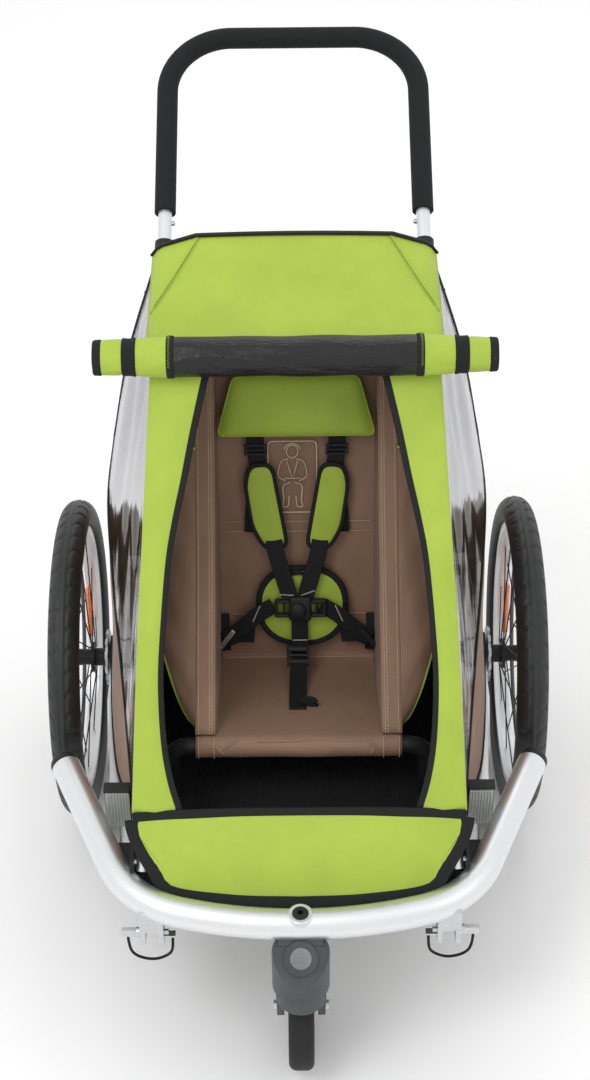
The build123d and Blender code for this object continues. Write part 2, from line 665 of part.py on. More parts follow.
def roof_panel():
    corners = [(-ROOF_FRONT[0], *ROOF_FRONT[1:]), ROOF_FRONT, ROOF_REAR,
               (-ROOF_REAR[0], *ROOF_REAR[1:])]
    return sheet(corners, inset=0)


def hoop_bracket():
    """A plate on the axle cross tube that carries the hoop's pivot and the brake shaft."""
    plate = make_hull([
        *(Pos(0, CROSS_TUBE_Z) * Circle(CROSS_TUBE_RADIUS + PLATE_TUBE_MARGIN)).edges(),
        *(Pos(*HOOP_FOOT) * Circle(PLATE_END_RADIUS)).edges(),
        *(Pos(*BRAKE_SHAFT) * Circle(PLATE_END_RADIUS)).edges()])
    outer = HOOP_HALF_SPREAD - HOOP_RADIUS - PLATE_GAP
    bracket = Pos(outer, 0, 0) * (Plane.YZ * extrude(plate, amount=-PLATE))
    bracket -= across(0, HALF_TRACK, 0, CROSS_TUBE_Z, CROSS_TUBE_RADIUS)
    bracket -= across(0, HALF_TRACK, *HOOP_FOOT, PIVOT_PIN_RADIUS)
    return bracket - across(0, HALF_TRACK, *BRAKE_SHAFT, BRAKE_SHAFT_RADIUS + RUNNING_FIT)


def hoop_pin():
    inner = HOOP_HALF_SPREAD - HOOP_RADIUS - PLATE_GAP - PLATE
    return across(inner, HOOP_HALF_SPREAD + HOOP_RADIUS, *HOOP_FOOT, PIVOT_PIN_RADIUS)


# ---- handle ------------------------------------------------------------------------------
def on_handle(distance, side=1):
    """The handle's leg, at a distance along it from its base."""
    return (side * HANDLE_HALF_SPREAD, HANDLE_BASE[0] + distance * HANDLE_UP[0],
            HANDLE_BASE[1] + distance * HANDLE_UP[1])


def handle_path(start):
    return FilletPolyline(on_handle(start, -1), on_handle(HANDLE_REACH, -1),
                          on_handle(HANDLE_REACH), on_handle(start), radius=HANDLE_CORNER)


def handle_socket(hoop):
    """The socket behind the hoop's leg, with the lug that holds it there."""
    socket = rod(on_handle(SOCKET_START), on_handle(SOCKET_END), SOCKET_RADIUS)
    root = on_handle(SOCKET_START + LUG_AT)
    lug = block(HOOP_HALF_SPREAD - LUG_BITE, HANDLE_HALF_SPREAD, HOOP_TOP[0] - LUG_AHEAD,
                root[1] + LUG_BEHIND, root[2] - LUG_BELOW, root[2] + LUG_ABOVE)
    bore = rod(on_handle(2 * SOCKET_START), on_handle(2 * SOCKET_END), HANDLE_RADIUS + RUNNING_FIT)
    return max((socket + lug - bore - hoop).solids(), key=lambda solid: solid.volume)


def snap_pin(side):
    x, y, z = on_handle(SNAP_PIN_AT, side)
    tip = x - side * (HANDLE_RADIUS + SNAP_PIN_OUT)
    pin = across(tip, tip + side * SNAP_PIN_LENGTH, y, z, SNAP_PIN_RADIUS)
    return fillet(pin.edges().sort_by(Axis.X)[0 if side > 0 else -1], radius=SNAP_PIN_EDGE)


def handle_tube():
    tube = swept(handle_path(-HANDLE_TAIL), HANDLE_RADIUS, HANDLE_WALL)
    for _, side in SIDES:
        x, y, z = on_handle(SNAP_PIN_AT, side)
        tube -= across(x, x - side * 2 * HANDLE_RADIUS, y, z, SNAP_PIN_RADIUS + RUNNING_FIT)
    return tube


# ---- wheels ------------------------------------------------------------------------------
def tyre(x):
    """A tyre whose beads straddle the rim's flanges."""
    centre = WHEEL_RADIUS - TYRE_WIDTH / 2
    section = Circle(TYRE_WIDTH / 2) - Circle(TYRE_WIDTH / 2 - TYRE_WALL)
    depth = centre - RIM_FLANGE_RADIUS
    section -= Pos(0, -depth - TYRE_WIDTH / 2) * Rectangle(RIM_WIDTH, TYRE_WIDTH)
    body = Pos(x, 0, WHEEL_RADIUS) * revolve(Pos(0, centre) * section, Axis.X)
    return body.solids()[0]


def rim(x):
    half = RIM_WIDTH / 2
    top = RIM_FLANGE_RADIUS
    base = top - RIM_DEPTH
    return turned(x, 0, WHEEL_RADIUS, [
        (-half, top), (-half + RIM_WALL, top), (-half + RIM_WALL, top - BEAD_SEAT),
        (half - RIM_WALL, top - BEAD_SEAT), (half - RIM_WALL, top), (half, top),
        (half, base + RIM_SHOULDER), (half - RIM_BASE_CHAMFER, base),
        (-half + RIM_BASE_CHAMFER, base), (-half, base + RIM_SHOULDER)])


def spokes(x):
    """Two crossed sets of spokes from each hub flange, set apart so that they pass clear."""
    inner = HUB_FLANGE_RADIUS - SPOKE_HUB_INSET
    outer = RIM_FLANGE_RADIUS - RIM_DEPTH
    pieces = []
    for number in range(SPOKE_COUNT):
        flange = 1 if number % 2 else -1
        leading = 1 if number // 2 % 2 else -1
        end = 360 / SPOKE_COUNT * (number + 0.5)
        start = end - leading * SPOKE_LEAN
        hub_x = x + flange * (HUB_FLANGE_SPREAD / 2 + leading * SPOKE_CROSS_GAP)
        a, b = radians(start), radians(end)
        pieces.append(rod((hub_x, inner * sin(a), WHEEL_RADIUS + inner * cos(a)),
                          (x + flange * SPOKE_RIM_OFFSET, outer * sin(b), WHEEL_RADIUS + outer * cos(b)),
                          SPOKE_RADIUS))
    return pieces


def hub(side, spoke_set):
    """The turned hub, from the brake disc to the outer end, drilled for its spokes."""
    half = HUB_LENGTH / 2
    flange = HUB_FLANGE_SPREAD / 2
    thick = HUB_FLANGE_THICKNESS / 2
    inner_end = -(HALF_TRACK - BRAKE_DISC_X - BRAKE_DISC_THICKNESS / 2)
    profile = [(inner_end, 0), (inner_end, HUB_END_RADIUS)]
    for place in (-flange, flange):
        profile += [(place - thick, HUB_END_RADIUS), (place - thick, HUB_FLANGE_RADIUS),
                    (place + thick, HUB_FLANGE_RADIUS), (place + thick, HUB_BARREL_RADIUS)]
    profile += [(half - HUB_END_CHAMFER[0], HUB_END_RADIUS),
                (half, HUB_END_RADIUS - HUB_END_CHAMFER[1]), (half, 0)]
    body = revolve(make_face(Polyline(*profile, close=True)), Axis.X)
    body = Pos(HALF_TRACK, 0, WHEEL_RADIUS) * body
    body -= across(0, HALF_TRACK + half + 1, 0, WHEEL_RADIUS, AXLE_RADIUS + RUNNING_FIT)
    if side < 0:
        body = mirror(body, about=Plane.YZ)
    for spoke in spoke_set:
        body -= spoke
    return max(body.solids(), key=lambda solid: solid.volume)


def brake_disc(x):
    """The toothed disc, with a gap straight below the axle for the pawl."""
    disc = Cylinder(BRAKE_DISC_RADIUS, BRAKE_DISC_THICKNESS)
    disc -= Cylinder(AXLE_RADIUS + BRAKE_DISC_BORE_GAP, BRAKE_DISC_THICKNESS)
    gap = Pos(BRAKE_DISC_RADIUS, 0, 0) * Box(
        2 * BRAKE_TOOTH_DEPTH, BRAKE_TOOTH_GAP, BRAKE_DISC_THICKNESS)
    for number in range(BRAKE_TEETH):
        disc -= Rot(0, 0, number * 360 / BRAKE_TEETH) * gap
    return Pos(x, 0, WHEEL_RADIUS) * Rot(0, 90, 0) * disc


def wheel_mount(rail):
    """The block on the rail that takes the stub axle."""
    outer = BRAKE_DISC_X - BRAKE_DISC_THICKNESS / 2 - MOUNT_DISC_GAP
    mount = block(RAIL_HALF_SPREAD - MOUNT_INNER, outer, -MOUNT_HALF_LENGTH, MOUNT_HALF_LENGTH,
                  WHEEL_RADIUS - MOUNT_DROP, RAIL_TOP + MOUNT_RISE)
    mount = fillet(mount.edges().filter_by(Axis.X), radius=MOUNT_CORNER)
    mount -= across(0, HALF_TRACK, 0, WHEEL_RADIUS, AXLE_RADIUS)
    mount -= rail
    mount -= block(0, RAIL_HALF_SPREAD, -CROSS_TUBE_RADIUS, CROSS_TUBE_RADIUS,
                   CROSS_TUBE_Z - CROSS_TUBE_RADIUS, CROSS_TUBE_Z + CROSS_TUBE_RADIUS)
    return mount


def wheel_axle():
    end = HALF_TRACK + HUB_LENGTH / 2
    axle = across(RAIL_HALF_SPREAD - RAIL_WIDTH / 2, end, 0, WHEEL_RADIUS, AXLE_RADIUS)
    face = end + AXLE_HEAD_LENGTH
    axle += across(end, face, 0, WHEEL_RADIUS, AXLE_RADIUS)
    axle += across(end + AXLE_HEAD_GAP, face, 0, WHEEL_RADIUS, AXLE_HEAD_RADIUS)
    return axle - across(face - AXLE_BUTTON_LENGTH, face, 0, WHEEL_RADIUS,
                         AXLE_BUTTON_RADIUS + RUNNING_FIT)


def axle_button():
    face = HALF_TRACK + HUB_LENGTH / 2 + AXLE_HEAD_LENGTH
    inner = face - AXLE_BUTTON_LENGTH + AXLE_BUTTON_TRAVEL + AXLE_BUTTON_SPARE
    button = across(inner, face + AXLE_BUTTON_TRAVEL, 0, WHEEL_RADIUS, AXLE_BUTTON_RADIUS)
    return fillet(button.edges().sort_by(Axis.X)[-1], radius=AXLE_BUTTON_EDGE)


# ---- caster ------------------------------------------------------------------------------
def button_plane():
    """The sloping face on the housing's front that holds the release button."""
    return Plane(origin=(0, *BUTTON_CENTRE), z_dir=(0, -1, 1))


def caster_housing(bumper_bar):
    """The housing round the swivel, with the arm that joins it to the bumper."""
    height = HOUSING_TOP - HOUSING_BOTTOM
    body = Pos(0, SWIVEL_Y, HOUSING_BOTTOM) * Cylinder(HOUSING_RADIUS, height, align=UPRIGHT)
    body = fillet(body.edges().sort_by(Axis.Z)[-1], radius=HOUSING_EDGE)
    body += block(-HOUSING_ARM_HALF_WIDTH, HOUSING_ARM_HALF_WIDTH, SWIVEL_Y,
                  BUMPER_FRONT_Y + HOUSING_ARM_REACH, HOUSING_BOTTOM + HOUSING_ARM_RISE,
                  BUMPER_Z - HOUSING_ARM_TOP)
    body -= button_plane() * Cylinder(2 * HOUSING_RADIUS, height, align=UPRIGHT)
    body += button_plane() * Pos(0, 0, -BUTTON_RING_DEPTH) * Cylinder(
        BUTTON_RING_RADIUS, BUTTON_RING_DEPTH + BUTTON_RING_HEIGHT, align=UPRIGHT)
    body -= button_plane() * Pos(0, 0, -BUTTON_DEPTH - BUTTON_TRAVEL) * Cylinder(
        BUTTON_RADIUS + RUNNING_FIT, height, align=UPRIGHT)
    body -= Pos(0, SWIVEL_Y, HOUSING_BOTTOM - BUTTON_EDGE) * Cylinder(
        STEM_RADIUS + RUNNING_FIT, STEM_TOP - HOUSING_BOTTOM + 2 * BUTTON_EDGE, align=UPRIGHT)
    return max((body - bumper_bar).solids(), key=lambda solid: solid.volume)


def caster_button():
    disc = Pos(0, 0, BUTTON_TRAVEL - BUTTON_DEPTH) * Cylinder(
        BUTTON_RADIUS, BUTTON_DEPTH + BUTTON_RING_HEIGHT - BUTTON_EDGE, align=UPRIGHT)
    return button_plane() * fillet(disc.edges().sort_by(Axis.Z)[-1], radius=BUTTON_EDGE)


def caster_fork():
    """Stem, crown and two raked legs that trail behind the swivel axis."""
    low, high = FORK_CROWN
    middle = (low + high) / 2
    half = FORK_GAP / 2 + FORK_PLATE
    root = high - FORK_CROWN_EDGE
    stem = Pos(0, SWIVEL_Y, root) * Cylinder(STEM_RADIUS, STEM_TOP - root, align=UPRIGHT)
    crown = Pos(0, SWIVEL_Y, middle) * Cylinder(half, high - low)
    crown = fillet(crown.edges(), radius=FORK_CROWN_EDGE)
    leg_shift, leg_top_radius = FORK_LEG_TOP
    leg = make_hull([*(Pos(SWIVEL_Y + leg_shift, middle) * Circle(leg_top_radius)).edges(),
                     *(Pos(*CASTER_AXLE) * Circle(FORK_LEG_END_RADIUS)).edges()])
    leg = Pos(FORK_GAP / 2, 0, 0) * (Plane.YZ * extrude(leg, amount=FORK_PLATE))
    fork = stem + crown
    for part in both(leg):
        fork += part
    # The crown is hollow below, so the tyre turns clear of it.
    fork -= across(-FORK_GAP / 2, FORK_GAP / 2, *CASTER_AXLE, CASTER_RADIUS + FORK_TYRE_GAP)
    fork -= across(-half, half, *CASTER_AXLE, CASTER_BOLT_RADIUS)
    return max(fork.solids(), key=lambda solid: solid.volume)


def caster_axle():
    """The bolt with its two heads and the spacers beside the wheel."""
    half = FORK_GAP / 2 + FORK_PLATE
    head_radius, head_length = CASTER_BOLT_HEAD
    bolt = across(-half, half, *CASTER_AXLE, CASTER_BOLT_RADIUS)
    for side in (-1, 1):
        bolt += across(side * half, side * (half + head_length), *CASTER_AXLE, head_radius)
        bolt += across(side * (CASTER_WIDTH / 2 + CASTER_SPACER_GAP), side * FORK_GAP / 2,
                       *CASTER_AXLE, CASTER_SPACER_RADIUS)
    return bolt


def caster_tyre():
    core = CASTER_CORE_RADIUS
    section = Pos(0, (CASTER_RADIUS + core) / 2) * RectangleRounded(
        CASTER_WIDTH, CASTER_RADIUS - core, CASTER_TYRE_EDGE)
    section += Pos(0, core + CASTER_CORE_INSET / 2) * Rectangle(
        CASTER_WIDTH - 2 * CASTER_CORE_INSET, CASTER_CORE_INSET)
    return Pos(0, *CASTER_AXLE) * revolve(section, Axis.X)


def caster_hub():
    """A dished core with five lightening holes."""
    half = CASTER_WIDTH / 2
    rim_half = half - CASTER_CORE_INSET
    core = CASTER_CORE_RADIUS
    web = CASTER_WEB_HALF
    boss = CASTER_BOSS_RADIUS
    bore = CASTER_BOLT_RADIUS + RUNNING_FIT
    right = [(rim_half, core), (rim_half, core - CASTER_CORE_RIM), (web, core - CASTER_WEB_DEPTH),
             (web, boss + CASTER_BOSS_FILLET), (half, boss), (half, bore)]
    left = [(-x, radius) for x, radius in reversed(right)]
    body = turned(0, 0, 0, right + left)
    for number in range(CASTER_HOLES):
        body -= Rot(number * 360 / CASTER_HOLES, 0, 0) * Pos(0, 0, CASTER_HOLE_AT) * Rot(
            0, 90, 0) * Cylinder(CASTER_HOLE_RADIUS, CASTER_WIDTH)
    return Pos(0, *CASTER_AXLE) * body


# ---- parking brake -----------------------------------------------------------------------
def brake_bar():
    """A shaft across the trailer with a pawl arm below each brake disc and a foot pedal."""
    y, z = BRAKE_SHAFT
    reach = BRAKE_DISC_X + BRAKE_DISC_THICKNESS / 2
    bar = across(-reach, reach, y, z, BRAKE_SHAFT_RADIUS)
    tip = WHEEL_RADIUS - BRAKE_DISC_RADIUS - BRAKE_PAWL_GAP
    half = BRAKE_PAWL_WIDTH / 2
    root_drop, tip_drop = BRAKE_ARM_BOTTOM
    arm = make_face(Polyline(
        (y, z - root_drop), (y, z + BRAKE_ARM_TOP), (half, z - BRAKE_ARM_TIP_TOP), (half, tip),
        (-half, tip), (-half, z - tip_drop), close=True))
    arm = Plane.YZ * extrude(arm, amount=BRAKE_DISC_THICKNESS)
    for part in both(Pos(reach - BRAKE_DISC_THICKNESS, 0, 0) * arm):
        bar += part
    for place in (-BRAKE_PEDAL_ROD_SPREAD, BRAKE_PEDAL_ROD_SPREAD):
        x = BRAKE_PEDAL_X + place
        bar += rod((x, y, z), (x, BRAKE_PEDAL_END - BRAKE_PEDAL_ROD_INSET,
                               z - BRAKE_PEDAL_ROD_DROP), BRAKE_PEDAL_ROD_RADIUS)
    below, above = BRAKE_PEDAL_HEIGHT
    pedal = block(BRAKE_PEDAL_X - BRAKE_PEDAL_HALF_WIDTH, BRAKE_PEDAL_X + BRAKE_PEDAL_HALF_WIDTH,
                  BRAKE_PEDAL_END - BRAKE_PEDAL_LENGTH, BRAKE_PEDAL_END, z - below, z + above)
    return bar + fillet(pedal.edges().filter_by(Axis.X), radius=BRAKE_PEDAL_EDGE)


# ---- tow clevises ------------------------------------------------------------------------
def tow_clevis(bumper_bar):
    """A slotted block under the bumper's corner, with the inner lug that holds the lanyard."""
    half = CLEVIS_WIDTH / 2
    length = CLEVIS_HALF_LENGTH
    body = block(CLEVIS_X - half, CLEVIS_X + half, CLEVIS_Y - length, CLEVIS_Y + length,
                 CLEVIS_Z - length, BUMPER_Z)
    body -= block(CLEVIS_X - CLEVIS_SLOT / 2, CLEVIS_X + CLEVIS_SLOT / 2, CLEVIS_Y - length,
                  CLEVIS_Y + length, CLEVIS_Z - length, CLEVIS_Z + CLEVIS_SLOT_RISE)
    body -= across(0, HALF_TRACK, CLEVIS_Y, CLEVIS_Z, LOCK_PIN_RADIUS + RUNNING_FIT)
    side, back, height = CLEVIS_LUG
    lug = CLEVIS_X + LANYARD_POINTS[-1][0]
    body += block(lug - side, CLEVIS_X - half, CLEVIS_Y + back, CLEVIS_Y - side,
                  LANYARD_EXIT_Z, LANYARD_EXIT_Z + height)
    return max((body - bumper_bar).solids(), key=lambda solid: solid.volume)


def lock_pin():
    """The pin, its head and the eyelet that the lanyard hangs from."""
    half = CLEVIS_WIDTH / 2
    head = CLEVIS_X + half + LOCK_PIN_HEAD_GAP
    head_radius, head_length = LOCK_PIN_HEAD
    pin = across(CLEVIS_X - half - LOCK_PIN_STICK_OUT, head, CLEVIS_Y, CLEVIS_Z, LOCK_PIN_RADIUS)
    pin += across(head, head + head_length, CLEVIS_Y, CLEVIS_Z, head_radius)
    eye = CLEVIS_X + LANYARD_POINTS[0][0]
    ahead, behind, above = EYELET_SPAN
    pin += block(head + head_length / 2, eye + EYELET_REACH, CLEVIS_Y - ahead, CLEVIS_Y + behind,
                 LANYARD_EXIT_Z, CLEVIS_Z + above)
    return pin


def cord_radii(points):
    """The bend at each inner point: 0.45 of the shorter run beside it over tan(half the turn)."""
    radii = []
    for before, here, after in zip(points, points[1:], points[2:]):
        arrive = Vector(*here) - Vector(*before)
        leave = Vector(*after) - Vector(*here)
        turn = radians(arrive.get_angle(leave))
        radii.append(0.45 * min(arrive.length, leave.length) / tan(turn / 2))
    return radii


def lanyard(side):
    points = [(side * (CLEVIS_X + x), CLEVIS_Y + y, LANYARD_EXIT_Z + z)
              for x, y, z in LANYARD_POINTS]
    radii = cord_radii(points)
    path = FilletPolyline(*points, radius=radii)
    print("lanyard length", round(path.length, 1), "bends", [round(r, 1) for r in radii])
    return swept(path, LANYARD_RADIUS)


# ---- seat and harness --------------------------------------------------------------------
def seat_tube():
    """A bent tube whose legs stand on the cross tube below it."""
    low = CROSS_TUBE_Z
    path = FilletPolyline(
        (-SEAT_TUBE_HALF_SPREAD, SEAT_TUBE[0], low), (-SEAT_TUBE_HALF_SPREAD, *SEAT_TUBE),
        (SEAT_TUBE_HALF_SPREAD, *SEAT_TUBE), (SEAT_TUBE_HALF_SPREAD, SEAT_TUBE[0], low),
        radius=SEAT_TUBE_CORNER)
    tube = swept(path, SEAT_TUBE_RADIUS) - across(
        -HALF_TRACK, HALF_TRACK, SEAT_TUBE[0], low, CROSS_TUBE_RADIUS)
    return max(tube.solids(), key=lambda solid: solid.volume)


def seat_sling():
    """One cloth from the front tube's sleeve, down to the crease and up the back, with wings."""
    clear = SEAT_TUBE_RADIUS + SOFT_GAP
    front = SEAT_TUBE[0] - clear
    top = SEAT_TUBE[1] + clear
    upper = [(front - SHEET, SEAT_TUBE[1] - clear), (front - SHEET, top + SHEET),
             (SEAT_TUBE[0] + clear, top + SHEET), (SEAT_CREASE[0], SEAT_CREASE[1] + SHEET), SEAT_TOP]
    lower = [(SEAT_TOP[0] + SHEET, SEAT_TOP[1]), (SEAT_CREASE[0] + SHEET, SEAT_CREASE[1]),
             (SEAT_TUBE[0] + clear, top), (front, top), (front, SEAT_TUBE[1] - clear)]
    profile = Plane.YZ * make_face(Polyline(*upper, *lower, close=True))
    sling = extrude(profile, amount=SEAT_HALF_WIDTH, both=True)
    wing = make_face(Polyline(WING_FRONT, WING_FRONT_TOP, WING_SHOULDER, WING_TOP, WING_CREASE,
                              close=True))
    wing = Pos(WING_HALF_SPREAD, 0, 0) * (Plane.YZ * extrude(wing, amount=SHEET))
    return [sling, *both(wing)]


def on_back(x, z, lift):
    """A place on the seat back: X, height, and distance out from the cloth's face."""
    run = Vector(SEAT_TOP[0] - SEAT_CREASE[0], SEAT_TOP[1] - SEAT_CREASE[1]).normalized()
    y = SEAT_CREASE[0] + (z - SEAT_CREASE[1]) * run.X / run.Y
    return Plane(origin=(x, y - lift * run.Y, z + lift * run.X), x_dir=(1, 0, 0),
                 z_dir=(0, -run.Y, run.X))


def strap(start, end, lift, width=STRAP_WIDTH, thickness=STRAP_THICKNESS):
    """A flat strap on the seat back between two (x, height) places."""
    low = on_back(*start, lift)
    finish = low.to_local_coords(Vector(*on_back(*end, lift).origin))
    angle = degrees(atan2(finish.Y, finish.X))
    length = hypot(finish.X, finish.Y)
    return low * Rot(0, 0, angle) * Pos(length / 2, 0, thickness / 2) * Box(
        length, width, thickness)


def harness_straps():
    """Two shoulder straps, two hip straps and the crotch strap, clear of one another."""
    shoulder = strap(*SHOULDER_STRAP, STRAP_LIFT)
    chest = strap(*CHEST_STRAP, FRONT_STRAP_LIFT)
    hip = strap(*HIP_STRAP, FRONT_STRAP_LIFT)
    crotch = strap(*CROTCH_STRAP, FRONT_STRAP_LIFT)
    return [*both(shoulder), *both(chest), *both(hip), crotch]


def harness_pads():
    """The two shoulder pads and the round belly pad behind the buckle."""
    shoulder = strap(*SHOULDER_PAD, PAD_LIFT, PAD_WIDTH, PAD_THICKNESS)
    belly = on_back(0, BELLY_PAD_Z, STRAP_LIFT) * Cylinder(
        BELLY_PAD_RADIUS, PAD_THICKNESS, align=UPRIGHT)
    return [*both(shoulder), belly]


def buckle_body():
    width, height, thick = BUCKLE_SIZE
    body = Pos(0, 0, thick / 2) * Box(width, height, thick)
    body = fillet(body.edges().filter_by(Axis.Z), radius=BUCKLE_CORNER)
    body -= Pos(0, 0, thick - BUCKLE_POCKET) * Cylinder(
        BUCKLE_BUTTON_RADIUS + RUNNING_FIT, 2 * BUCKLE_POCKET, align=UPRIGHT)
    return on_back(0, BUCKLE_Z, BUCKLE_LIFT) * body


def buckle_button():
    base = BUCKLE_SIZE[2] - BUCKLE_POCKET + BUCKLE_BUTTON_TRAVEL + BUCKLE_BUTTON_SPARE
    button = Pos(0, 0, base) * Cylinder(BUCKLE_BUTTON_RADIUS, BUCKLE_POCKET, align=UPRIGHT)
    return on_back(0, BUCKLE_Z, BUCKLE_LIFT) * fillet(
        button.edges().sort_by(Axis.Z)[-1], radius=BUCKLE_BUTTON_EDGE)


def strap_adjusters():
    """Slide adjusters on the shoulder and hip straps, and the ladder-lock on the crotch strap."""
    above = STRAP_THICKNESS + SOFT_GAP
    size = (ADJUSTER_WIDTH, ADJUSTER_THICKNESS)
    shoulder = strap(*SHOULDER_ADJUSTER, STRAP_LIFT + above, *size)
    hip = strap(*HIP_ADJUSTER, FRONT_STRAP_LIFT + above, *size)
    crotch = strap(*CROTCH_ADJUSTER, FRONT_STRAP_LIFT + above, *size)
    return [*both(shoulder), *both(hip), crotch]


def headrest_pillow():
    """The padded headrest, wider at its lower edge."""
    low, high = HEADREST_HALF_WIDTH
    half = HEADREST_HEIGHT / 2
    face = make_face(Polyline((-low, -half), (low, -half), (high, half), (-high, half), close=True))
    pillow = extrude(fillet(face.vertices(), radius=HEADREST_CORNER), amount=HEADREST_THICKNESS)
    pillow = fillet(pillow.faces().sort_by(Axis.Z)[-1].edges(), radius=HEADREST_EDGE)
    return on_back(0, HEADREST_Z, HEADREST_LIFT) * pillow


# ---- cover -------------------------------------------------------------------------------
def face_point(x, height):
    """A point on the sloping front opening's plane at a height."""
    share = (height - FACE_BOTTOM[1]) / (FACE_TOP[1] - FACE_BOTTOM[1])
    return (x, FACE_BOTTOM[0] + share * (FACE_TOP[0] - FACE_BOTTOM[0]), height)


def ring_on_face(edge):
    """A closed outline on the opening's plane, from its right edge and the mirror of that."""
    right = [face_point(x, z) for z, x in edge]
    return right + [(-x, y, z) for x, y, z in reversed(right)]


def front_surround():
    """The fabric frame round the front opening, wider across its lower half."""
    opening = sheet(ring_on_face(OPENING_EDGE), thickness=4 * SHEET, inset=0)
    return sheet(ring_on_face(SURROUND_EDGE), inset=0) - opening


def front_apron():
    """The apron from the opening's lower edge down to the bumper."""
    x, y, z = face_point(*APRON_TOP)
    top = (x, y - APRON_TOP_GAP, z - APRON_TOP_GAP)
    back, up = APRON_BOTTOM_GAP
    bottom = (APRON_CORNER[0], APRON_BOTTOM[0] + back, APRON_BOTTOM[1] + up)
    mid = (APRON_MID_HALF_WIDTH, (top[1] + bottom[1]) / 2, (top[2] + bottom[2]) / 2)
    right = [bottom, mid, top]
    return sheet(right + [(-x, y, z) for x, y, z in reversed(right)], inset=0)


def side_window():
    """The flat triangles of clear film between roof, front frame, sill and widest point."""
    sill = face_point(SILL_FRONT[0], SURROUND_EDGE[0][0])
    return [
        sheet([ROOF_FRONT, SIDE_VERTEX, sill]),
        sheet([SIDE_VERTEX, SILL_FRONT, sill]),
        sheet([ROOF_FRONT, ROOF_REAR, SIDE_REAR]),
        sheet([ROOF_FRONT, SIDE_REAR, SIDE_VERTEX]),
    ]


def side_panel():
    """The flat triangles of cloth below the window, down to the side rail."""
    return [
        sheet([SIDE_VERTEX, SILL_FRONT, SILL_BOTTOM_FRONT]),
        sheet([SIDE_VERTEX, SILL_BOTTOM_FRONT, SILL_BOTTOM_REAR]),
        sheet([SIDE_VERTEX, SILL_BOTTOM_REAR, SIDE_REAR]),
    ]


def rear_panel():
    """The cloth behind the luggage space, from below the handle's sockets to the rear rail."""
    def right(x, z):
        share = (REAR_PANEL_TOP[2] - z) / (REAR_PANEL_TOP[2] - SILL_BOTTOM_REAR[2])
        return (x, REAR_PANEL_TOP[1] + share * (REAR_PANEL_FOOT_Y - REAR_PANEL_TOP[1]), z)
    half = [REAR_PANEL_TOP, right(SIDE_REAR[0] - REAR_PANEL_INSET, SIDE_REAR[2]),
            right(SILL_BOTTOM_REAR[0], SILL_BOTTOM_REAR[2])]
    return sheet(half + [(-x, y, z) for x, y, z in reversed(half)], inset=REAR_PANEL_INSET)


def rolled_cover():
    """The rain cover and insect screen, rolled up on the roof's front edge."""
    middle = across(-ROLL_MIDDLE_HALF_LENGTH, ROLL_MIDDLE_HALF_LENGTH, *ROLL_CENTRE, ROLL_RADIUS)
    length = ROLL_HALF_LENGTH - ROLL_MIDDLE_HALF_LENGTH
    taper = Pos(ROLL_MIDDLE_HALF_LENGTH + length / 2, *ROLL_CENTRE) * Rot(0, 90, 0) * Cone(
        ROLL_RADIUS, ROLL_END_RADIUS, length)
    roll = middle
    for part in both(taper):
        roll += part
    return roll


def front_reflector():
    x, y = REFLECTOR_AT
    width, depth, height = REFLECTOR_SIZE
    body = Pos(x, y, RAIL_TOP + height / 2) * Box(width, depth, height)
    return fillet(body.edges().filter_by(Axis.Y), radius=REFLECTOR_CORNER)


